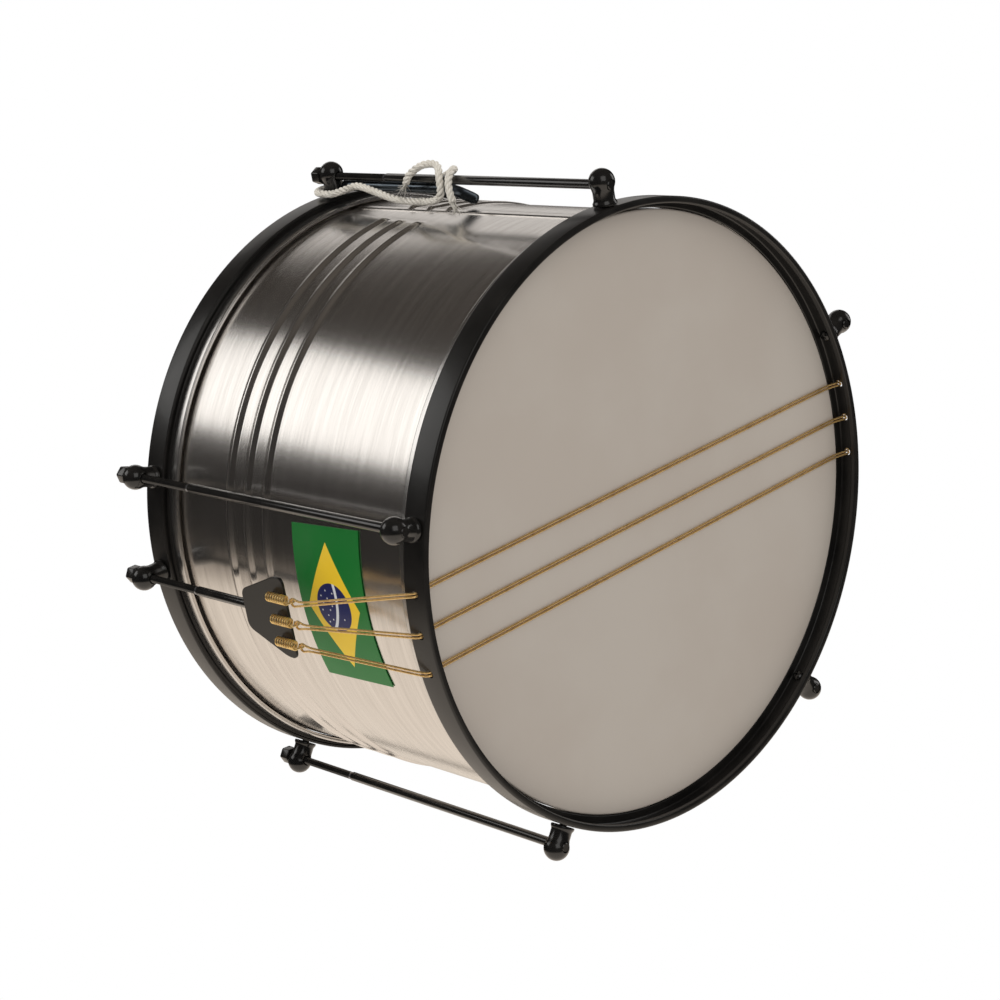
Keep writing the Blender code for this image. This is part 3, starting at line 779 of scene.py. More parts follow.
@dataclass(frozen=True)
class FlagFinish(Finish):
    """The printed flag: base field, second colour's rhombus, disc, band and stars, in millimetres."""

    blue: Colour = (0.004, 0.010, 0.105)
    white: Colour = (0.75, 0.77, 0.80)
    half_long: float = 33.0
    half_short: float = 19.6
    disc: float = 12.6
    band_centre: tuple[float, float] = (-6.0, -25.0)
    band_radius: float = 28.0
    band_half: float = 1.0
    stars: tuple[tuple[float, float], ...] = (
        (-7.5, 0.5), (-4.5, -4.0), (-8.5, -4.5), (-2.0, -7.5), (1.5, -3.5), (4.5, -6.0), (2.0, -9.5),
        (6.5, -3.0), (-5.5, -8.5), (8.0, -6.2), (-0.8, -1.2), (5.5, 6.0),
    )
    star: float = 0.55

    def distance(self, graph: Graph, x: object, y: object, place: tuple[float, float]) -> bpy.types.NodeSocket:
        """How far each point of the print is from one place.

        Args:
            graph: The wiring hand.
            x: Millimetres along the flag.
            y: Millimetres up the flag.
            place: The place.

        Returns:
            The distance's socket.
        """
        across = graph.math("POWER", graph.math("SUBTRACT", x, place[0]), 2.0)
        up = graph.math("POWER", graph.math("SUBTRACT", y, place[1]), 2.0)
        return graph.math("SQRT", graph.math("ADD", across, up))

    def material(self, wear: bpy.types.NodeTree) -> bpy.types.Material:
        """The finished material.

        Args:
            wear: The wear group.

        Returns:
            The material.
        """
        made, graph, shader = self.begin()
        split = graph.node("ShaderNodeSeparateXYZ")
        graph.feed(graph.node("ShaderNodeUVMap", uv_map="print").outputs[0], split.inputs[0])
        x, y = split.outputs[0], split.outputs[1]
        slope_x = graph.math("DIVIDE", graph.math("ABSOLUTE", x), self.half_long)
        slope_y = graph.math("DIVIDE", graph.math("ABSOLUTE", y), self.half_short)
        rhombus = graph.span(graph.math("ADD", slope_x, slope_y), 0.99, 1.0, 1.0, 0.0)
        disc_edge = self.distance(graph, x, y, (0.0, 0.0))
        disc = graph.span(disc_edge, self.disc - 0.15, self.disc, 1.0, 0.0)
        arc = graph.math("SUBTRACT", self.distance(graph, x, y, self.band_centre), self.band_radius)
        band = graph.span(graph.math("ABSOLUTE", arc), self.band_half - 0.1, self.band_half, 1.0, 0.0)
        pale = band
        for place in self.stars:
            dot = graph.span(self.distance(graph, x, y, place), self.star - 0.2, self.star, 0.9, 0.0)
            pale = graph.math("MAXIMUM", pale, dot)
        ink = graph.mix(rhombus, *self.colours())
        ink = graph.mix(disc, ink, (*self.blue, 1.0))
        ink = graph.mix(graph.math("MULTIPLY", pale, disc), ink, (*self.white, 1.0))
        effect = graph.node("ShaderNodeGroup", node_tree=wear)
        effect.inputs["Scale"].default_value = self.scale
        worn = graph.span(effect.outputs["Patch"], 0.5, 0.85, 0.0, 0.05)
        graph.feed(graph.mix(worn, ink, (0.25, 0.27, 0.22, 1.0)), shader.inputs["Base Color"])
        swing = graph.math("MULTIPLY", effect.outputs["Patch"], self.rough_swing)
        graph.feed(graph.math("ADD", swing, self.roughness), shader.inputs["Roughness"])
        self.raise_by(graph, shader, effect.outputs["Patch"], 0.3 * MM)
        return made


class Finishes:
    """Every material of the drum, built once."""

    def __init__(self) -> None:
        """Builds the shared effects and the materials."""
        wear = make_wear()
        brushing = make_brushing()
        self.black = HandledFinish(
            "black hoop paint", base=(0.005, 0.0047, 0.0044), second=(0.010, 0.009, 0.008),
            roughness=0.32, rough_swing=0.18, metallic=0.0, bump=0.30, scale=45.0, coat=0.15,
        ).material(wear)
        self.black_gloss = HandledFinish(
            "black post lacquer", base=(0.006, 0.006, 0.006), second=(0.012, 0.011, 0.010),
            roughness=0.20, rough_swing=0.15, metallic=0.0, bump=0.25, scale=90.0, coat=0.5,
        ).material(wear)
        self.bright_run_out = HandledFinish(
            "bright thread steel", base=(0.45, 0.45, 0.47), second=(0.20, 0.20, 0.21),
            roughness=0.30, rough_swing=0.2, metallic=1.0, bump=0.3, scale=300.0,
        ).material(wear)
        self.shell = BrushedFinish(
            "brushed shell", base=(0.86, 0.83, 0.80), second=(0.70, 0.67, 0.64),
            roughness=0.21, rough_swing=0.03, metallic=1.0, bump=0.30, scale=3600.0,
        ).material(brushing, wear)
        self.flesh = BrushedFinish(
            "drawn flesh hoop", base=(0.82, 0.80, 0.78), second=(0.66, 0.64, 0.62),
            roughness=0.24, rough_swing=0.10, metallic=1.0, bump=0.18, scale=1500.0, length=3.0,
        ).material(brushing, wear)
        self.film = HandledFinish(
            "milky head film", base=(0.455, 0.405, 0.355), second=(0.475, 0.43, 0.38),
            roughness=0.42, rough_swing=0.10, metallic=0.0, bump=0.10, scale=14.0, coat=0.15, scratch=0.06,
        ).material(wear)
        self.brass = TwistedFinish(
            "drawn brass", base=(0.98, 0.72, 0.32), second=(0.66, 0.42, 0.16),
            roughness=0.26, rough_swing=0.18, metallic=0.9, bump=0.25, scale=250.0, groove_shade=0.10,
        ).material(wear)
        self.wire = TwistedFinish(
            "twisted brass wire", base=(0.95, 0.66, 0.28), second=(0.55, 0.32, 0.10),
            roughness=0.30, rough_swing=0.12, metallic=0.85, bump=0.35, scale=250.0,
            winds_per_metre=420.0, turns=2.0,
        ).material(wear)
        # The key steel's nine lines run along the bar, each with painted shade in its low part.
        self.steel = TwistedFinish(
            "blued key steel", base=(0.14, 0.165, 0.19), second=(0.06, 0.075, 0.09),
            roughness=0.20, rough_swing=0.15, metallic=1.0, bump=0.25, scale=80.0,
            winds_per_metre=0.0, turns=9.0,
        ).material(wear)
        # The cotton's windings carry strong painted shade in their low parts.
        self.cotton = TwistedFinish(
            "cotton cord", base=(0.86, 0.83, 0.76), second=(0.52, 0.48, 0.41),
            roughness=0.85, rough_swing=0.1, metallic=0.0, bump=1.0, scale=160.0,
            winds_per_metre=330.0, turns=4.0, groove_shade=0.55, specular=0.2,
        ).material(wear)
        self.flag = FlagFinish(
            "printed flag", base=(0.0, 0.185, 0.022), second=(0.93, 0.62, 0.02),
            roughness=0.36, rough_swing=0.20, metallic=0.0, bump=0.3, scale=35.0, coat=0.1,
        ).material(wear)


@dataclass(frozen=True)
class Bend:
    """Where a stretching piece passes from its own body to a second one, in the row frame."""

    body: str
    start: Vector
    end: Vector


def dress(
    thing: bpy.types.Object,
    finish: bpy.types.Material,
    slot: Slot,
    body: str,
    *nodes: str,
    bend: Bend | None = None,
) -> bpy.types.Object:
    """Gives a piece its finish, hides the solids that it stands for, and rides it on its body unless it bends.

    Args:
        thing: The piece.
        finish: Its material.
        slot: The record's material slot; not used.
        body: The body that it rides on.
        *nodes: The solids that it replaces.
        bend: Where it passes over to a second body, if it stretches between two; if given, the piece is
            attached to no body and keeps its baked placement.

    Returns:
        The piece.
    """
    thing.data.materials.clear()
    thing.data.materials.append(finish)
    if nodes:
        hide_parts(*nodes)
    thing.data.transform(thing.matrix_world)
    thing.matrix_world = Matrix.Identity(4)
    if bend is None:
        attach(thing, body)
    else:
        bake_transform(thing)
    LOG.info("%s rides on %s, %d faces", thing.name, body, len(thing.data.polygons))
    return thing


# Sub-assemblies


@dataclass
class Hoops:
    """The two black counter-hoops with their hemmed lips."""

    drum: DrumFrame
    finishes: Finishes
    radius: float = 159.78 * MM
    band: float = 14.4 * MM
    wall: float = 1.5 * MM
    lip: float = 3.6 * MM
    lip_depth: float = 3.4 * MM
    flange_radius: float = 153.8 * MM
    flange_depth: float = 10.9 * MM
    flange_wall: float = 1.3 * MM
    string_spacing: float = 19.8 * MM
    string_hole: float = 4.2 * MM
    hole_depth: float = 7.2 * MM
    cutter_half: float = 6 * MM
    rounding: float = 1.1 * MM
    steps: int = 240

    def profile(self, rear: bool) -> Profile:
        """The hoop's section.

        Args:
            rear: Whether it is the resonant hoop's.

        Returns:
            The rounded section.
        """
        inner = self.radius - self.wall
        lip_inner = self.radius - self.lip
        end = self.flange_depth + self.flange_wall
        section = [
            (self.radius, self.band),
            (self.radius, 0),
            (lip_inner, 0),
            (lip_inner, self.lip_depth),
            (inner, self.lip_depth),
            (inner, self.flange_depth),
            (self.flange_radius, self.flange_depth),
            (self.flange_radius, end),
            (inner, end),
            (inner, self.band),
        ]
        if rear:
            section = [(radius, self.drum.length - depth) for radius, depth in reversed(section)]
        return soften(section, self.rounding, True, 5)

    def build(self) -> None:
        """Builds both hoops and cuts the string holes in the front one."""
        front = turned("batter_hoop_fine", self.profile(False), self.steps, True, self.drum.matrix)
        for angle in self.hole_angles():
            middle = self.drum.at(self.radius - self.wall / 2, self.hole_depth, angle)
            place = self.drum.matrix @ Matrix.Translation(middle) @ Matrix.Rotation(angle, 4, "Y")
            place = place @ Matrix.Rotation(math.pi / 2, 4, "X")
            cut_holes(front, rod_cutter("string_hole", self.string_hole / 2, self.cutter_half, place))
        dress(front, self.finishes.black, Slot.BLACK_PAINT, Body.BATTER_FRAME.value, "batter_hoop")
        rear = turned("resonant_hoop_fine", self.profile(True), self.steps, True, self.drum.matrix)
        dress(rear, self.finishes.black, Slot.BLACK_PAINT, Body.DRUM.value, "resonant_hoop")

    def hole_angles(self) -> list[float]:
        """The clock angles of the six string holes."""
        swings = [math.asin(self.string_spacing * n / self.radius) for n in (-1, 0, 1)]
        near = [self.drum.snare_angle + swing for swing in swings]
        return near + [self.drum.snare_angle + math.pi - swing for swing in swings]


@dataclass
class Heads:
    """Both head films and their flesh hoops."""

    drum: DrumFrame
    finishes: Finishes
    flesh_outer: float = 156 * MM
    flesh_wall: float = 2.4 * MM
    flesh_start: float = 12.5 * MM
    flesh_end: float = 21.4 * MM
    film_depth: float = 10.5 * MM
    film_wall: float = 0.5 * MM
    skirt: float = 7 * MM
    collar: float = 1.2 * MM
    flesh_rounding: float = 0.9 * MM
    steps: int = 240

    def mirrored(self, profile: Profile) -> Profile:
        """A profile as it stands at the rear end."""
        return [(radius, self.drum.length - depth) for radius, depth in reversed(profile)]

    def flesh_profile(self) -> Profile:
        """The flesh hoop's section, a strip with rounded edges."""
        inner = self.flesh_outer - self.flesh_wall
        section = [
            (self.flesh_outer, self.flesh_start),
            (inner, self.flesh_start),
            (inner, self.flesh_end),
            (self.flesh_outer, self.flesh_end),
        ]
        return soften(section, self.flesh_rounding, True, 6)

    def film_profile(self) -> Profile:
        """The film's section from the middle out and back."""
        outer = self.flesh_outer - self.flesh_wall - GAP
        inner = outer - self.film_wall
        depth = self.film_depth
        rings = [(outer * share, depth) for share in (0.2, 0.4, 0.6, 0.8, 0.93)]
        front = [(0, depth), *rings, (outer, depth), (outer, depth + self.skirt)]
        back = [(inner, depth + self.skirt), (inner, depth + self.film_wall)]
        closing = [(radius, depth + self.film_wall) for radius, _ in reversed(rings)]
        return soften([*front, *back, *closing, (0, depth + self.film_wall)], self.collar, False, 5)

    def build(self) -> None:
        """Builds and dresses the four pieces."""
        place = self.drum.matrix
        for side, change in (("batter", list), ("resonant", self.mirrored)):
            film = turned(f"{side}_film_fine", change(self.film_profile()), self.steps, False, place)
            dress(film, self.finishes.film, Slot.HEAD_FILM, Body.DRUM.value, f"{side}_film")
            hoop = turned(f"{side}_flesh_fine", change(self.flesh_profile()), self.steps, True, place)
            dress(hoop, self.finishes.flesh, Slot.BARE_ALUMINIUM, Body.DRUM.value, f"{side}_flesh_hoop")


@dataclass
class Shell:
    """The rolled shell: three raised beads, a lap seam and the flattened strip beside it."""

    drum: DrumFrame
    finishes: Finishes
    radius: float = 152.4 * MM
    wall: float = 1.2 * MM
    edge: float = 11.3 * MM
    edge_round: float = 1.5 * MM
    beads: tuple[float, ...] = (126 * MM, 141 * MM, 155.5 * MM)
    bead_half: float = 3.5 * MM
    bead_height: float = 1.4 * MM
    seam_angle: float = math.radians(1.2)
    seam_step: float = 0.8 * MM
    seam_fade: float = math.radians(3.4)
    flat_sag: float = 0.5 * MM
    crease_width: float = math.radians(2.4)
    seam_edge: float = math.radians(0.9)
    seam_ends: tuple[float, float] = (23 * MM, 195 * MM)
    seam_clear: float = 0.02
    fine_angles: tuple[float, float, float] = (-22, 7, 0.35)
    plain_angles: tuple[float, float, float] = (7, 338, 1.0)
    edge_rows: tuple[float, ...] = (0.0, 0.3 * MM, 0.7 * MM, 1.1 * MM)
    front_rows: tuple[float, float, float] = (13 * MM, 121 * MM, 4.5 * MM)
    bead_rows: tuple[float, float, float] = (121 * MM, 161 * MM, 0.5 * MM)
    rear_rows: tuple[float, float, float] = (161 * MM, 205 * MM, 4 * MM)
    crease: tuple[tuple[float, float], ...] = (
        (0.0, -20.0), (78 * MM, -12.3), (122 * MM, -7.2), (151 * MM, -6.6), (197 * MM, -2.3), (218 * MM, -1.0),
    )

    def crease_angle(self, depth: float) -> float:
        """The clock angle at which the flattened strip starts."""
        depths = [entry[0] for entry in self.crease]
        angles = [math.radians(entry[1]) for entry in self.crease]
        return float(np.interp(depth, depths, angles))

    def bead_rise(self, depth: float) -> float:
        """How far the nearest bead stands out at a depth."""
        rise = 0.0
        for centre in self.beads:
            reach = abs(depth - centre) / self.bead_half
            if reach < 1:
                rise = max(rise, self.bead_height * (0.5 + 0.5 * math.cos(math.pi * reach)))
        return rise

    def outer_radius(self, angle: float, depth: float) -> float:
        """The outer skin's radius.

        Args:
            angle: Clock angle.
            depth: Depth behind the front edge.

        Returns:
            The radius.
        """
        start = self.crease_angle(depth)
        into = (angle - start) / self.crease_width
        out = (angle - self.seam_angle) / self.seam_edge
        strip = min(1.0, max(0.0, into)) * (1 - min(1.0, max(0.0, out)))
        strip = strip * strip * (3 - 2 * strip)
        radius = self.radius + self.bead_rise(depth) * (1 - strip) - self.flat_sag * strip
        past = (angle - self.seam_angle) / self.seam_fade
        if 0 <= past < 1 and self.seam_ends[0] < depth < self.seam_ends[1]:
            radius += self.seam_step * (1 - past) ** 1.5
        from_edge = min(depth - self.edge, self.drum.length - self.edge - depth)
        if from_edge < self.edge_round:
            radius -= (self.edge_round - from_edge) ** 2 / self.edge_round * 0.5
        return radius

    def build(self) -> None:
        """Builds the shell as one closed body."""
        seam = math.degrees(self.seam_angle)
        fine = [seam - self.seam_clear, seam + self.seam_clear, *np.arange(*self.fine_angles)]
        angles = sorted(math.radians(a) for a in [*fine, *np.arange(*self.plain_angles)])
        end = self.drum.length - self.edge
        depths = [*(self.edge + d for d in self.edge_rows), *(end - d for d in self.edge_rows)]
        for span in (self.front_rows, self.bead_rows, self.rear_rows):
            depths += [*np.arange(*span)]
        depths = sorted(depths)
        rows = len(depths) + 2
        points = []
        for angle in angles:
            for depth in depths:
                points.append(self.drum.at(self.outer_radius(angle, depth), depth, angle))
            for depth in (depths[-1], depths[0]):
                points.append(self.drum.at(self.radius - self.wall, depth, angle))
        faces = []
        for step in range(len(angles)):
            near = step * rows
            far = (step + 1) % len(angles) * rows
            for row in range(rows):
                after = (row + 1) % rows
                faces.append((near + row, near + after, far + after, far + row))
        shell = new_object("shell_fine", points, faces, self.drum.matrix)
        dress(shell, self.finishes.shell, Slot.BARE_ALUMINIUM, Body.DRUM.value, "shell")


@dataclass
class Posts:
    """The eleven lug posts and the screws that hold them."""

    drum: DrumFrame
    finishes: Finishes
    hoop_radius: float = 160 * MM
    hoop_wall: float = 1.5 * MM
    depth: float = 7.2 * MM
    diameter: float = 13 * MM
    waist: float = 10.6 * MM
    height: float = 18.16 * MM
    rod_height: float = 10.2 * MM
    rod_hole: float = 5.5 * MM
    screw: float = 3.8 * MM
    screw_head: float = 6 * MM
    screw_head_height: float = 1.8 * MM
    screw_reach: float = 5.5 * MM
    foot_gap: float = 0.3 * MM
    foot_height: float = 1.2 * MM
    foot_slope: float = 2.4 * MM
    foot_rounding: float = 0.5 * MM
    head_rounding: float = 0.35 * MM
    cross_recess: tuple[float, float, float, float] = (3.2 * MM, 1.8 * MM, 0.8 * MM, 1.0)

    def post_mesh(self) -> bpy.types.Mesh:
        """A turned post with a ball end, a short waist, a foot and its rod hole."""
        radius = self.diameter / 2
        centre = self.height - radius
        foot = self.foot_gap
        profile = [(0, foot), (radius * 0.93, foot), (radius * 0.93, foot + self.foot_height)]
        profile += [(self.waist / 2, foot + self.foot_slope), (self.waist / 2, centre - radius * 0.75)]
        for step in range(1, 13):
            turn = math.radians(-40 + 130 * step / 12)
            profile.append((radius * math.cos(turn), centre + radius * math.sin(turn)))
        profile[-1] = (0, self.height)
        section = soften(profile[:5], self.foot_rounding, False, 3) + profile[5:]
        post = turned("post_pattern", section, 40, False, Matrix())
        place = Matrix.Translation((0, self.rod_height, 0)) @ Matrix.Rotation(math.pi / 2, 4, "X")
        cut_holes(post, rod_cutter("post_hole", self.rod_hole / 2, 3 * self.diameter, place))
        mesh = post.data
        bpy.data.objects.remove(post, do_unlink=True)
        return mesh

    def screw_mesh(self) -> bpy.types.Mesh:
        """A pan-head screw that points outwards from inside the hoop, with a cross recess."""
        seat = -self.hoop_wall - GAP
        head = self.screw_head / 2
        shank = self.screw / 2
        profile = [
            (0, seat - self.screw_head_height),
            (head * 0.62, seat - self.screw_head_height),
            (head, seat - self.screw_head_height * 0.45),
            (head, seat),
            (shank, seat),
            (shank, self.screw_reach),
            (0, self.screw_reach),
        ]
        screw = turned("screw_pattern", soften(profile, self.head_rounding, False, 3), 24, False, Matrix())
        for turn in (0.0, math.pi / 2):
            size = Matrix.Diagonal(self.cross_recess)
            middle = Matrix.Translation((0, seat - self.screw_head_height, 0))
            slot = new_object("cross", *unit_block(), middle @ Matrix.Rotation(turn, 4, "Y") @ size)
            cut_holes(screw, slot)
        mesh = screw.data
        bpy.data.objects.remove(screw, do_unlink=True)
        return mesh

    def place(self, name: str, mesh: bpy.types.Mesh, depth: float, angle: float, body: Body) -> None:
        """Sets one post or screw on the hoop and dresses it.

        Args:
            name: The solid that it stands for.
            mesh: The mesh that it gets a copy of.
            depth: Depth behind the front edge.
            angle: Clock angle.
            body: The body that it rides on.
        """
        foot = Matrix.Translation(self.drum.at(self.hoop_radius, depth, angle))
        lying = self.drum.matrix @ foot @ Matrix.Rotation(angle, 4, "Y")
        thing = link_mesh(f"{name}_fine", mesh.copy(), lying @ Matrix.Rotation(math.pi / 2, 4, "X"))
        dress(thing, self.finishes.black_gloss, Slot.BLACK_PAINT, body.value, name)

    def build(self) -> None:
        """Builds every post and screw."""
        post = self.post_mesh()
        screw = self.screw_mesh()
        rear_depth = self.drum.length - self.depth
        jobs = []
        for number, angle in enumerate(self.drum.lug_angles(), 1):
            jobs.append((f"front_post_{number}", self.depth, angle, Body.BATTER_FRAME))
            jobs.append((f"rear_post_{number}", rear_depth, angle, Body.DRUM))
        jobs.append(("snare_post", rear_depth, self.drum.snare_angle, Body.DRUM))
        for name, depth, angle, body in jobs:
            self.place(name, post, depth, angle, body)
            self.place(f"{name}_screw", screw, depth, angle, body)


def unit_block() -> tuple[list, list]:
    """Corners and faces of a block one unit each way."""
    corners = [(x, y, z) for x in (-0.5, 0.5) for y in (-0.5, 0.5) for z in (-0.5, 0.5)]
    faces = [(0, 1, 3, 2), (4, 6, 7, 5), (0, 4, 5, 1), (2, 3, 7, 6), (0, 2, 6, 4), (1, 5, 7, 3)]
    return corners, faces


@dataclass
class Rods:
    """The five tension rods and the snare rod, with their cap nuts."""

    drum: DrumFrame
    finishes: Finishes
    shaft: float = 2.4 * MM
    thread: float = 2.1 * MM
    thread_depth: float = 0.22 * MM
    pitch: float = 0.8 * MM
    run_out: float = 1.6 * MM
    thread_start: float = 165 * MM
    rod_end: float = 222.6 * MM
    front_end: float = 1.0 * MM
    snare_end: float = 106 * MM
    nut_seat: float = 217.6 * MM
    nut_corner: float = 4.9 * MM
    nut_length: float = 7.5 * MM
    nut_crown: float = 1.8 * MM
    nut_bevel: float = 0.45 * MM
    nut_bevel_angle: float = math.radians(25)
    chamfer: float = 0.4 * MM
    shoulder: float = 0.5 * MM

    def profile(self, front: float) -> Profile:
        """A rod's section, with the ridges of its thread at the rear.

        Args:
            front: Depth of its front end.

        Returns:
            The section from front to rear.
        """
        section = [(0, front), (self.shaft - self.chamfer, front), (self.shaft, front + self.chamfer)]
        section += [(self.shaft, self.thread_start - self.shoulder), (self.thread, self.thread_start)]
        ridge = self.thread_start + self.pitch
        while ridge < self.rod_end - self.pitch:
            section.append((self.thread - self.thread_depth, ridge))
            section.append((self.thread, ridge + self.pitch / 2))
            ridge += self.pitch
        return section + [(self.thread * 0.8, self.rod_end), (0, self.rod_end)]

    def nut(self, name: str, angle: float, body: str) -> None:
        """One hexagonal cap nut.

        Args:
            name: The solid that it stands for.
            angle: Clock angle of its rod.
            body: The body that it rides on.
        """
        corner = self.nut_corner
        crown = self.nut_length - self.nut_crown
        profile = [(0, 0), (corner, 0), (corner, crown), (corner * 0.6, self.nut_length), (0, self.nut_length)]
        centre = Matrix.Translation(self.drum.at(self.drum.rod_radius, self.nut_seat, angle))
        place = self.drum.matrix @ centre @ Matrix.Rotation(angle, 4, "Y")
        nut = turned(f"{name}_fine", profile, 6, False, place)
        edge = nut.modifiers.new("Edges", "BEVEL")
        edge.width = self.nut_bevel
        edge.segments = 3
        edge.angle_limit = self.nut_bevel_angle
        apply_modifiers(nut)
        dress(nut, self.finishes.black_gloss, Slot.BLACK_PAINT, body, name)

    def rod(self, name: str, angle: float, front: float, body: Body) -> None:
        """One rod.

        Args:
            name: The solid that it stands for.
            angle: Clock angle.
            front: Depth of its front end.
            body: The body that it rides on.
        """
        centre = Matrix.Translation(self.drum.at(self.drum.rod_radius, 0, angle))
        rod = turned(f"{name}_fine", self.profile(front), 20, False, self.drum.matrix @ centre)
        ring = [
            face.index for face in rod.data.polygons
            if abs(face.center.y - self.thread_start) < self.run_out
        ]
        dress(rod, self.finishes.black_gloss, Slot.BLACK_PAINT, body.value, name)
        rod.data.materials.append(self.finishes.bright_run_out)
        for number in ring:
            rod.data.polygons[number].material_index = 1

    def build(self) -> None:
        """Builds the rods and nuts."""
        for number, angle in enumerate(self.drum.lug_angles(), 1):
            self.rod(f"tension_rod_{number}", angle, self.front_end, Body.BATTER_FRAME)
            self.nut(f"tension_nut_{number}", angle, f"tension_nut_{number}")
        self.rod("snare_rod", self.drum.snare_angle, self.snare_end, Body.SNARE_TENSIONER)
        self.nut("snare_nut", self.drum.snare_angle, Body.SNARE_NUT.value)


@dataclass
class Snares:
    """The spring plate, its three springs, the doubled strings and their ferrules."""

    drum: DrumFrame
    finishes: Finishes
    hoop_radius: float = 160 * MM
    hoop_wall: float = 1.5 * MM
    lug_depth: float = 7.2 * MM
    plate_bottom: float = 172.9 * MM
    plate_thickness: float = 1.5 * MM
    plate_front: float = 86 * MM
    plate_length: float = 35 * MM
    plate_half_front: float = 21 * MM
    plate_half_rear: float = 10 * MM
    plate_side: float = 7 * MM
    plate_corner: float = 4 * MM
    plate_edge: float = 0.3 * MM
    hole_radius: float = 1.2 * MM
    spring_spacing: float = 11.7 * MM
    spring_mean: float = 2.05 * MM
    spring_wire: float = 0.9 * MM
    spring_pitch: float = 1.8 * MM
    spring_curls: int = 8
    hole_inset: float = 10 * MM
    hook_radius: float = 1.9 * MM
    still_half: float = 2 * MM
    string_spacing: float = 19.8 * MM
    string_wire: float = 1.1 * MM
    strand_spacing: float = 1.6 * MM
    eye_radius: float = 2 * MM
    film_depth: float = 10.5 * MM
    turn_depth: float = 4.2 * MM
    ferrule_radius: float = 1.8 * MM
    ferrule_length: float = 7 * MM
    ferrule_rounding: float = 0.5 * MM
    crimp_share: float = 0.86
    string_radius: float = 0.55 * MM

    @property
    def spring_axis(self) -> float:
        """How far out the springs' line lies."""
        return self.plate_bottom + self.plate_thickness + GAP + self.spring_mean + self.spring_wire / 2

    @property
    def hook_centre(self) -> float:
        """Depth of the front hooks' centre."""
        hole = self.plate_front + self.hole_inset
        coil_front = hole - self.spring_curls * self.spring_pitch - self.spring_wire
        return coil_front - self.spring_wire - self.hook_radius

    def across(self, points: Iterable[tuple[float, float, float]]) -> list[Vector]:
        """Turns (side, depth, height) points about the snare's line into the drum's frame."""
        return [self.drum.at(height, depth, self.drum.snare_angle, side) for side, depth, height in points]

    def build_plate(self) -> None:
        """A stamped plate with rounded edges and three spring holes."""
        corners = [
            (-self.plate_half_front, 0.0),
            (self.plate_half_front, 0.0),
            (self.plate_half_front, self.plate_side),
            (self.plate_half_rear, self.plate_length),
            (-self.plate_half_rear, self.plate_length),
            (-self.plate_half_front, self.plate_side),
        ]
        outline = soften(corners, self.plate_corner, True, 8)
        path = bpy.data.curves.new("plate_outline", "CURVE")
        path.dimensions = "2D"
        path.fill_mode = "BOTH"
        path.extrude = self.plate_thickness / 2 - self.plate_edge
        path.bevel_depth = self.plate_edge
        path.bevel_resolution = 3
        path.offset = -self.plate_edge
        loops = [outline]
        for number in (-1, 0, 1):
            centre = self.spring_spacing * number
            loops.append([
                (centre + self.hole_radius * math.cos(t), self.hole_inset + self.hole_radius * math.sin(t))
                for t in np.linspace(0, 2 * math.pi, 20, endpoint=False)
            ])
        for loop in loops:
            line = path.splines.new("POLY")
            line.points.add(len(loop) - 1)
            for dot, place in zip(line.points, loop):
                dot.co = (place[0], place[1], 0, 1)
            line.use_cyclic_u = True
        plate = bpy.data.objects.new("snare_plate_fine", path)
        bpy.context.scene.collection.objects.link(plate)
        graph = bpy.context.evaluated_depsgraph_get()
        mesh = bpy.data.meshes.new_from_object(plate.evaluated_get(graph), depsgraph=graph)
        bpy.data.objects.remove(plate, do_unlink=True)
        middle = self.plate_bottom + self.plate_thickness / 2
        centre = Matrix.Translation(self.drum.at(middle, self.plate_front, self.drum.snare_angle))
        turn = Matrix.Rotation(self.drum.snare_angle, 4, "Y")
        thing = link_mesh("snare_plate_fine", mesh, self.drum.matrix @ centre @ turn)
        dress(thing, self.finishes.black, Slot.BLACK_PAINT, Body.SNARE_TENSIONER.value, "snare_plate")

    def spring_points(self, side: float) -> list[tuple[float, float, float]]:
        """Hook under the plate, rise, curls and front hook of one spring."""
        under = self.plate_bottom - GAP - self.spring_wire / 2
        hole = self.plate_front + self.hole_inset
        top = self.plate_bottom + self.plate_thickness
        points = [
            (side, hole + 2.2 * MM, under),
            (side, hole + 0.8 * MM, under),
            (side, hole, under + 0.6 * MM),
            (side, hole, top),
        ]
        per_curl = 20
        for step in range(self.spring_curls * per_curl + 1):
            turn = -math.pi / 2 + 2 * math.pi * step / per_curl
            depth = hole - self.spring_wire - step * self.spring_pitch / per_curl
            points.append((
                side + self.spring_mean * math.cos(turn),
                depth,
                self.spring_axis + self.spring_mean * math.sin(turn),
            ))
        for step in range(25):
            turn = step * 1.35 * math.pi / 24
            points.append((
                side,
                self.hook_centre - self.hook_radius * math.sin(turn),
                self.spring_axis - self.hook_radius * math.cos(turn),
            ))
        return points

    def bend_to_drum(self, start: float, end: float) -> Bend:
        """A stretch between two depths on the springs' line, on the drum at its end.

        Args:
            start: Depth where the spring's own end starts to give.
            end: Depth where the spring stands still.

        Returns:
            The stretch.
        """
        places = [
            self.drum.matrix @ self.drum.at(self.spring_axis, depth, self.drum.snare_angle)
            for depth in (start, end)
        ]
        return Bend(Body.DRUM.value, places[0], places[1])

    @property
    def coil_middle(self) -> float:
        """Depth of the springs' middle."""
        return (self.hook_centre + self.plate_front + self.hole_inset) / 2

    @property
    def rear_bend(self) -> Bend:
        """The rear half's stretch, from the plate's hole to the middle."""
        start = self.plate_front + self.hole_inset - self.spring_wire
        return self.bend_to_drum(start, self.coil_middle + self.still_half)

    @property
    def front_bend(self) -> Bend:
        """The front half's stretch, from the string's eye to the middle."""
        return self.bend_to_drum(self.hook_centre + self.hook_radius, self.coil_middle - self.still_half)

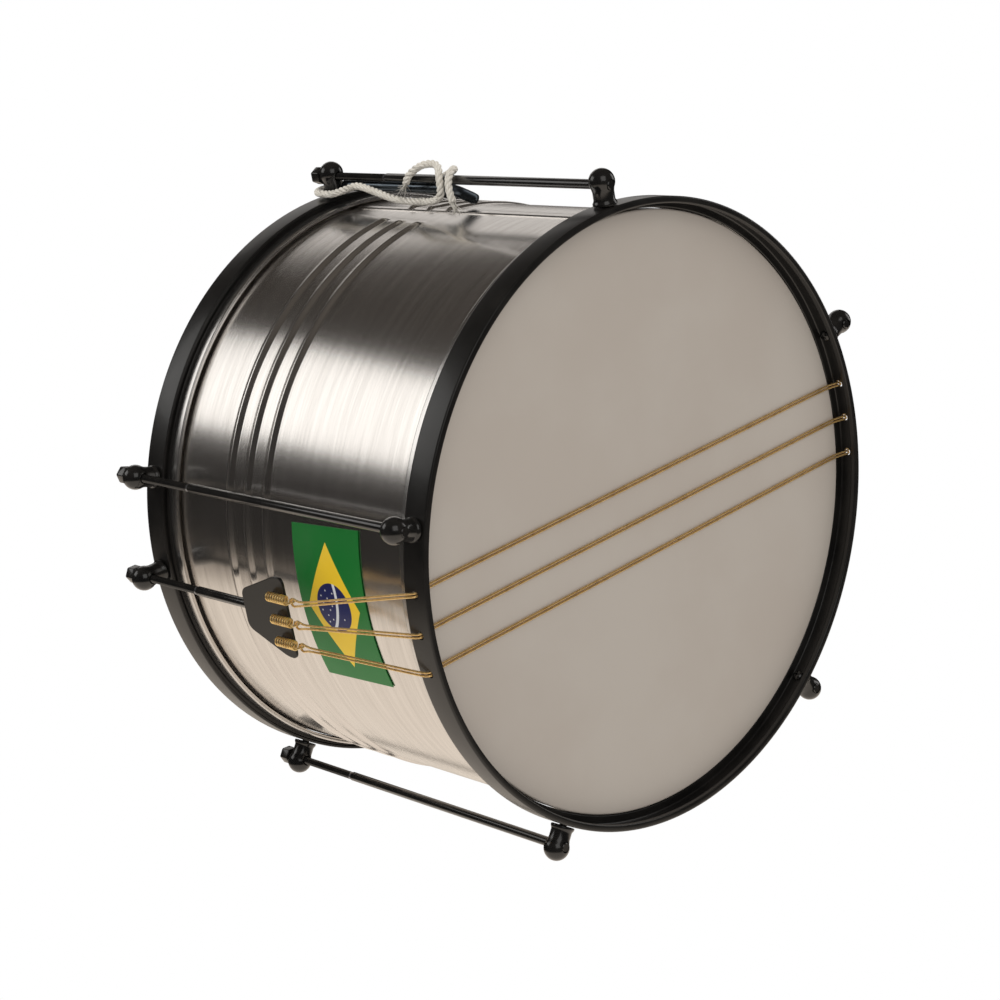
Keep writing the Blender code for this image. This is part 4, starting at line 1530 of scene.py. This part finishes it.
    def build_springs(self) -> None:
        """The three brass springs, stretching between the plate and the strings."""
        for number, offset in enumerate((-1, 0, 1), 1):
            points = np.array([tuple(p) for p in self.across(self.spring_points(offset * self.spring_spacing))])
            middle = len(points) // 2
            halves = (
                ("rear", points[:middle + 1], Body.SNARE_TENSIONER, self.rear_bend),
                ("front", points[middle:], Body.BATTER_FRAME, self.front_bend),
            )
            for end, route, body, bend in halves:
                radii = np.full(len(route), self.spring_wire / 2)
                name = f"snare_spring_{number}"
                spring = swept(f"{name}_{end}_fine", [(route, radii)], 10, self.drum.matrix)
                dress(spring, self.finishes.brass, Slot.BRASS_WIRE, body.value, name, bend=bend)

    def ferrule_line(self, side: float) -> float:
        """How far out a string's ferrule lies."""
        drop = self.hoop_radius - math.sqrt(self.hoop_radius ** 2 - side ** 2)
        return self.hoop_radius + GAP + self.ferrule_radius - drop

    def strand(self, hole_side: float, spring_side: float, lean: float) -> list[tuple[float, float, float]]:
        """One strand from its ferrule on the far side to the start of its eye.

        Args:
            hole_side: The string's offset at the hoop.
            spring_side: The spring's offset.
            lean: The strand's own offset.

        Returns:
            Its points.
        """
        height = math.sqrt(self.hoop_radius ** 2 - hole_side ** 2)
        wall = height - self.hoop_wall / 2
        on_head = self.film_depth - GAP - self.string_wire / 2
        around = [
            (self.lug_depth + self.turn_depth, self.ferrule_line(hole_side)),
            (self.lug_depth + 2.6 * MM, height + 1.5 * MM),
            (self.lug_depth + 0.9 * MM, height + 0.8 * MM),
            (self.lug_depth - 0.6 * MM, wall),
            (self.lug_depth - 0.4 * MM, wall - 1.6 * MM),
            (self.lug_depth + 0.8 * MM, wall - 4 * MM),
            (on_head, wall - 10 * MM),
        ]
        side = hole_side + lean
        points = [(side, depth, -reach) for depth, reach in around]
        points += [(side, depth, reach) for depth, reach in reversed(around[1:])]
        eye_depth = self.eye_depth()
        points.append((spring_side + lean, eye_depth - 2.6 * self.eye_radius, self.spring_axis))
        return points

    def eye_depth(self) -> float:
        """Depth of the centre of a string's eye."""
        wires = self.spring_wire / 2 + GAP + self.string_wire / 2
        return self.hook_centre - self.hook_radius + wires - self.eye_radius

    def build_strings(self) -> None:
        """The doubled strings and the sleeves on their far ends."""
        lean = self.strand_spacing / 2
        for number, offset in enumerate((-1, 0, 1), 1):
            hole_side = offset * self.string_spacing
            spring_side = offset * self.spring_spacing
            eye = []
            for step in range(25):
                turn = math.radians(-120 + 240 * step / 24)
                eye.append((
                    spring_side + self.eye_radius * math.sin(turn),
                    self.eye_depth() + self.eye_radius * math.cos(turn),
                    self.spring_axis,
                ))
            out = self.strand(hole_side, spring_side, -lean)
            back = self.strand(hole_side, spring_side, lean)
            route = self.finer(self.across([*out, *eye, *reversed(back)]))
            radii = np.full(len(route), self.string_radius)
            name = f"snare_string_{number}"
            string = swept(f"{name}_fine", [(route, radii)], 10, self.drum.matrix)
            dress(string, self.finishes.wire, Slot.BRASS_WIRE, Body.BATTER_FRAME.value, name)
            self.build_ferrule(number, hole_side)

    def finer(self, route: list[Vector]) -> np.ndarray:
        """Splits long straight spans and rounds the bends a little."""
        points = [route[0]]
        for start, end in zip(route, route[1:]):
            count = max(2, min(14, round((end - start).length / (1.0 * MM))))
            points += [start.lerp(end, step / count) for step in range(1, count + 1)]
        dots = np.array([tuple(p) for p in points])
        for _ in range(2):
            dots[1:-1] = dots[1:-1] * 0.5 + (dots[:-2] + dots[2:]) * 0.25
        return dots

    def build_ferrule(self, number: int, side: float) -> None:
        """One crimped sleeve.

        Args:
            number: The string's number.
            side: The string's offset.
        """
        start = self.lug_depth + self.turn_depth + GAP
        end = start + self.ferrule_length
        radius = self.ferrule_radius
        crimp = radius * self.crimp_share
        third = self.ferrule_length / 3
        section = [
            (0, start), (radius, start), (radius, start + third), (crimp, start + third * 1.2),
            (crimp, end - third * 1.2), (radius, end - third), (radius, end), (0, end),
        ]
        centre = Matrix.Translation(self.drum.at(-self.ferrule_line(side), 0, self.drum.snare_angle, side))
        name = f"string_ferrule_{number}"
        section = soften(section, self.ferrule_rounding, False)
        sleeve = turned(f"{name}_fine", section, 24, False, self.drum.matrix @ centre)
        layer = sleeve.data.uv_layers.new(name="length")
        for loop in sleeve.data.loops:
            spot = sleeve.data.vertices[loop.vertex_index].co
            layer.data[loop.index].uv = (math.atan2(spot.x, spot.z) / (2 * math.pi), spot.y)
        dress(sleeve, self.finishes.brass, Slot.BRASS_WIRE, Body.BATTER_FRAME.value, name)

    def build(self) -> None:
        """Builds the whole snare."""
        self.build_plate()
        self.build_springs()
        self.build_strings()


@dataclass
class KeyAndCord:
    """The tuning key and the cotton cord that ties it to the top rod."""

    drum: DrumFrame
    finishes: Finishes
    key_radius: float = 3 * MM
    key_bend: float = 7 * MM
    key_front: float = 118 * MM
    key_rear: float = 203.3 * MM
    key_arm: float = 18 * MM
    key_side: float = 2.2 * MM
    key_slope: float = math.radians(32)
    rod_radius: float = 2.4 * MM
    post_radius: float = 6.5 * MM
    rear_lug: float = 210.8 * MM
    cord_radius: float = 2.1 * MM
    strand_radius: float = 1.08 * MM
    strand_offset: float = 1.02 * MM
    lay_length: float = 9 * MM
    fray_length: float = 9 * MM
    fray_strands: int = 16
    fray_seed: int = 7
    fray_start: float = 1.1 * MM
    fray_thickness: tuple[float, float] = (0.26, 0.09)
    route_step: float = 0.9 * MM
    turn_height: float = 162.8

    def build_key(self) -> None:
        """A round bar bent at a right angle, with rounded ends."""
        reach = self.rod_radius + self.key_radius + GAP
        height = self.drum.rod_radius - math.sqrt(reach ** 2 - self.key_side ** 2)
        corner = Vector((self.key_side, self.key_front, height))
        across = Vector((math.cos(self.key_slope), 0, -math.sin(self.key_slope)))
        along = Vector((0, 1, 0))
        points = [Vector((self.key_side, self.key_rear, height))]
        for step in range(1, 13):
            points.append(points[0].lerp(corner + along * self.key_bend, step / 13))
        for step in range(17):
            turn = math.pi / 2 * step / 16
            inset = self.key_bend
            points.append(corner + along * inset * (1 - math.sin(turn)) + across * inset * (1 - math.cos(turn)))
        straight = self.key_arm - self.key_bend
        points += [corner + across * (self.key_bend + straight * n / 4) for n in range(1, 5)]
        route = np.array([tuple(p) for p in points])
        first, last = route[0], route[-1]
        ahead = (route[1] - first) / np.linalg.norm(route[1] - first)
        behind = (route[-2] - last) / np.linalg.norm(route[-2] - last)
        rounding = [math.radians(a) for a in (8, 30, 52, 74)]
        head = [first + ahead * self.key_radius * (1 - math.sin(a)) * 0.5 for a in rounding]
        tail = [last + behind * self.key_radius * (1 - math.sin(a)) * 0.5 for a in reversed(rounding)]
        radii = [self.key_radius * (0.35 + 0.6 * math.sin(a)) for a in rounding]
        body = route[1:-1]
        path = np.array([*[tuple(p) for p in head], *body, *[tuple(p) for p in tail]])
        sizes = np.array([*radii, *np.full(len(body), self.key_radius), *reversed(radii)])
        key = swept("tuning_key_fine", [(path, sizes)], 28, self.drum.matrix)
        dress(key, self.finishes.steel, Slot.KEY_STEEL, Body.DRUM.value, "tuning_key")

    def knots(self) -> list[tuple[float, float, float]]:
        """The route of the cord, from its one loose end to the other, in the drum's frame."""
        turn_radius = self.post_radius + self.cord_radius + 2 * GAP
        height = self.turn_height
        first = [
            (-6.2, 143, 169.5), (-6.0, 139, 174.0), (-3.5, 132, 178.05), (-1.5, 125, 178.75),
            (-2.5, 120, 177.25),
            (-5.0, 117.5, 173.5), (-6.2, 116.5, 168.5), (-6.0, 118, 163.5), (-4.4, 124, 160.4),
            (-4.0, 133, 159.2), (-4.2, 147, 159.2), (-4.8, 158, 160.6), (-5.6, 171, 164.2),
            (-6.0, 183, 166.8), (-7.4, 192, 165.0), (-turn_radius / MM, 202, height),
            (-turn_radius / MM, self.rear_lug / MM, height),
        ]
        round_post = []
        for step in range(1, 8):
            turn = math.pi * step / 8
            round_post.append((
                -turn_radius / MM * math.cos(turn),
                (self.rear_lug + turn_radius * math.sin(turn)) / MM,
                height,
            ))
        last = [
            (turn_radius / MM, self.rear_lug / MM, height), (9.4, 196, 163.6), (9.0, 175, 164.5),
            (8.8, 150, 166.0), (8.0, 130, 169.5), (5.6, 119, 173.2), (2.0, 113.2, 175.3),
            (-2.6, 111.2, 174.6), (-5.6, 110.4, 170.8), (-7.2, 109.0, 165.6), (-8.2, 106.5, 160.5),
        ]
        return [(x * MM, y * MM, z * MM) for x, y, z in [*first, *round_post, *last]]

    def build_cord(self) -> None:
        """Three laid strands along the route, with a frayed tuft at each end."""
        route = smooth_route(self.knots(), self.route_step)
        tangents, across, over = path_frames(route)
        lengths = np.concatenate([[0], np.cumsum(np.linalg.norm(np.diff(route, axis=0), axis=1))])
        paths = []
        for strand in range(3):
            turn = 2 * math.pi * (lengths / self.lay_length + strand / 3)
            swing = across * np.cos(turn)[:, None] + over * np.sin(turn)[:, None]
            paths.append((route + swing * self.strand_offset, np.full(len(route), self.strand_radius)))
        dice = np.random.default_rng(self.fray_seed)
        for end, way in ((0, -1.0), (-1, 1.0)):
            for _ in range(self.fray_strands):
                out = across[end] * dice.normal(0, 0.35) + over[end] * dice.normal(0, 0.35)
                reach = self.fray_length * dice.uniform(0.5, 1.0)
                aside = across[end] * dice.uniform(-1, 1) + over[end] * dice.uniform(-1, 1)
                start = route[end] + aside * self.fray_start
                steps = np.linspace(0, 1, 7)
                spread = np.array([
                    start + (tangents[end] * way * s + out * s ** 1.6) * reach for s in steps
                ])
                paths.append((spread, np.linspace(*self.fray_thickness, 7) * MM))
        cord = swept("tie_cord_fine", paths, 8, self.drum.matrix)
        dress(cord, self.finishes.cotton, Slot.COTTON_CORD, Body.DRUM.value, "tie_cord")

    def build(self) -> None:
        """Builds the key and the cord."""
        self.build_key()
        self.build_cord()


@dataclass
class FlagSticker:
    """The printed flag, bent to the shell."""

    drum: DrumFrame
    finishes: Finishes
    shell_radius: float = 152.4 * MM
    length: float = 81 * MM
    width: float = 50 * MM
    thickness: float = 0.4 * MM
    depth: float = 77.5 * MM
    angle: float = math.radians(-90.4)
    tilt: float = math.radians(2.7)
    columns: int = 64
    rows: int = 40

    def build(self) -> None:
        """Builds the sticker as one closed thin patch with print coordinates."""
        points, prints = [], []
        skin = self.shell_radius + GAP
        for lift in (self.thickness, 0.0):
            for row in range(self.rows + 1):
                for column in range(self.columns + 1):
                    along = (column / self.columns - 0.5) * self.length
                    up = (row / self.rows - 0.5) * self.width
                    x = along * math.cos(self.tilt) - up * math.sin(self.tilt)
                    y = along * math.sin(self.tilt) + up * math.cos(self.tilt)
                    points.append(self.drum.at(skin + lift, self.depth + y, self.angle + x / self.shell_radius))
                    prints.append((-along / MM, -up / MM))
        faces = []
        across = self.columns + 1
        layer_size = across * (self.rows + 1)
        for row in range(self.rows):
            for column in range(self.columns):
                first = row * across + column
                quad = (first, first + 1, first + across + 1, first + across)
                faces.append(quad)
                faces.append(tuple(reversed([corner + layer_size for corner in quad])))
        rim = [column for column in range(across)]
        rim += [row * across + self.columns for row in range(1, self.rows + 1)]
        rim += [self.rows * across + column for column in range(self.columns - 1, -1, -1)]
        rim += [row * across for row in range(self.rows - 1, 0, -1)]
        for start, end in zip(rim, rim[1:] + rim[:1]):
            faces.append((start, end, end + layer_size, start + layer_size))
        mesh = bpy.data.meshes.new("flag_sticker_fine")
        mesh.from_pydata([tuple(p) for p in points], [], faces)
        layer = mesh.uv_layers.new(name="print")
        for loop in mesh.loops:
            layer.data[loop.index].uv = prints[loop.vertex_index]
        turn_faces_out(mesh)
        mesh.set_sharp_from_angle(angle=SHARP_ANGLE)
        flag = link_mesh("flag_sticker_fine", mesh, self.drum.matrix)
        dress(flag, self.finishes.flag, Slot.FLAG_PRINT, Body.DRUM.value, "flag_sticker")


# Studio


@dataclass(frozen=True)
class Lamp:
    """One area lamp that looks at the drum."""

    name: str
    place: tuple[float, float, float]
    size: tuple[float, float]
    power: float
    colour: Colour = (1.0, 1.0, 1.0)
    target: tuple[float, float, float] = (0.0, 0.0, 0.16)

    def build(self) -> None:
        """Adds the lamp to the scene."""
        data = bpy.data.lights.new(self.name, "AREA")
        data.shape = "RECTANGLE"
        data.size, data.size_y = self.size
        data.energy = self.power
        data.color = self.colour
        thing = bpy.data.objects.new(self.name, data)
        bpy.context.scene.collection.objects.link(thing)
        thing.location = self.place
        away = Vector(self.place) - Vector(self.target)
        thing.rotation_euler = away.to_track_quat("Z", "Y").to_euler()


@dataclass(frozen=True)
class Studio:
    """The camera, the lamps and the white surroundings."""

    eye: tuple[float, float, float] = (-0.77648, -0.8370, 0.4137)
    right: tuple[float, float, float] = (0.7235, -0.6885, -0.0508)
    up: tuple[float, float, float] = (0.1879, 0.1255, 0.9741)
    lens: float = 78.8
    sensor: float = 36.0
    near_clip: float = 0.05
    fill: Colour = (0.80, 0.78, 0.76)
    reflected: tuple[tuple[float, Colour], ...] = (
        (0.0, (0.86, 0.76, 0.66)), (0.27, (0.82, 0.725, 0.62)), (0.31, (0.34, 0.29, 0.24)),
        (0.345, (0.008, 0.007, 0.006)), (0.72, (0.020, 0.017, 0.015)), (1.0, (0.07, 0.06, 0.05)),
    )
    lamps: tuple[Lamp, ...] = field(default=(
        Lamp("softbox", (-0.95, 1.16, 0.87), (0.9, 0.68), 2.6, (1.0, 0.985, 0.96)),
        Lamp("top strip", (0.80, 1.20, 0.85), (1.3, 0.8), 2.0, (1.0, 0.96, 0.92)),
        Lamp("front fill", (-0.9, -1.6, 1.3), (1.4, 1.4), 6.0, (1.0, 0.98, 0.95)),
        Lamp("right rim", (1.5, -0.5, 0.7), (0.6, 1.0), 2.4, (1.0, 0.98, 0.96)),
    ))

    def build_camera(self) -> None:
        """Sets the camera where the photograph was taken from."""
        data = bpy.data.cameras.new("camera")
        data.lens = self.lens
        data.sensor_width = self.sensor
        data.clip_start = self.near_clip
        camera = bpy.data.objects.new("camera", data)
        bpy.context.scene.collection.objects.link(camera)
        right = Vector(self.right).normalized()
        up = Vector(self.up)
        up = (up - right * up.dot(right)).normalized()
        back = right.cross(up)
        turn = Matrix((right, up, back)).transposed().to_4x4()
        camera.matrix_world = Matrix.Translation(self.eye) @ turn
        bpy.context.scene.camera = camera

    def build_world(self) -> None:
        """White for the camera, a floor glow and a dark room in reflections, a plain fill."""
        world = bpy.data.worlds.new("studio")
        bpy.context.scene.world = world
        world.use_nodes = True
        graph = Graph(world.node_tree)
        background = world.node_tree.nodes["Background"]
        split = graph.node("ShaderNodeSeparateXYZ")
        graph.feed(graph.node("ShaderNodeTexCoord").outputs["Generated"], split.inputs[0])
        ramp = graph.node("ShaderNodeValToRGB")
        height = graph.math("MULTIPLY", graph.math("ADD", split.outputs[2], 1.0), 0.5)
        graph.feed(height, ramp.inputs[0])
        elements = ramp.color_ramp.elements
        while len(elements) < len(self.reflected):
            elements.new(0.5)
        for element, (place, colour) in zip(elements, self.reflected):
            element.position = place
            element.color = (*colour, 1.0)
        path = graph.node("ShaderNodeLightPath")
        plain = graph.mix(path.outputs["Is Glossy Ray"], (*self.fill, 1.0), ramp.outputs[0])
        seen = graph.math("MAXIMUM", path.outputs["Is Camera Ray"], path.outputs["Is Transmission Ray"])
        graph.feed(graph.mix(seen, plain, STUDIO_WHITE), background.inputs["Color"])
        background.inputs["Strength"].default_value = 1.0

    def build(self) -> None:
        """Builds the camera, the lamps and the world."""
        self.build_camera()
        self.build_world()
        for lamp in self.lamps:
            lamp.build()
        view = bpy.context.scene.view_settings
        view.view_transform = "Standard"


def main() -> None:
    """Builds the studio and every sub-assembly in order."""
    logging.basicConfig(level=logging.INFO, format="%(message)s")
    drum = DrumFrame()
    Studio().build()
    finishes = Finishes()
    for assembly in (Hoops, Heads, Shell, Posts, Rods, Snares, KeyAndCord, FlagSticker):
        LOG.info("building %s", assembly.__name__)
        assembly(drum, finishes).build()


if __name__ == "__main__":
    main()
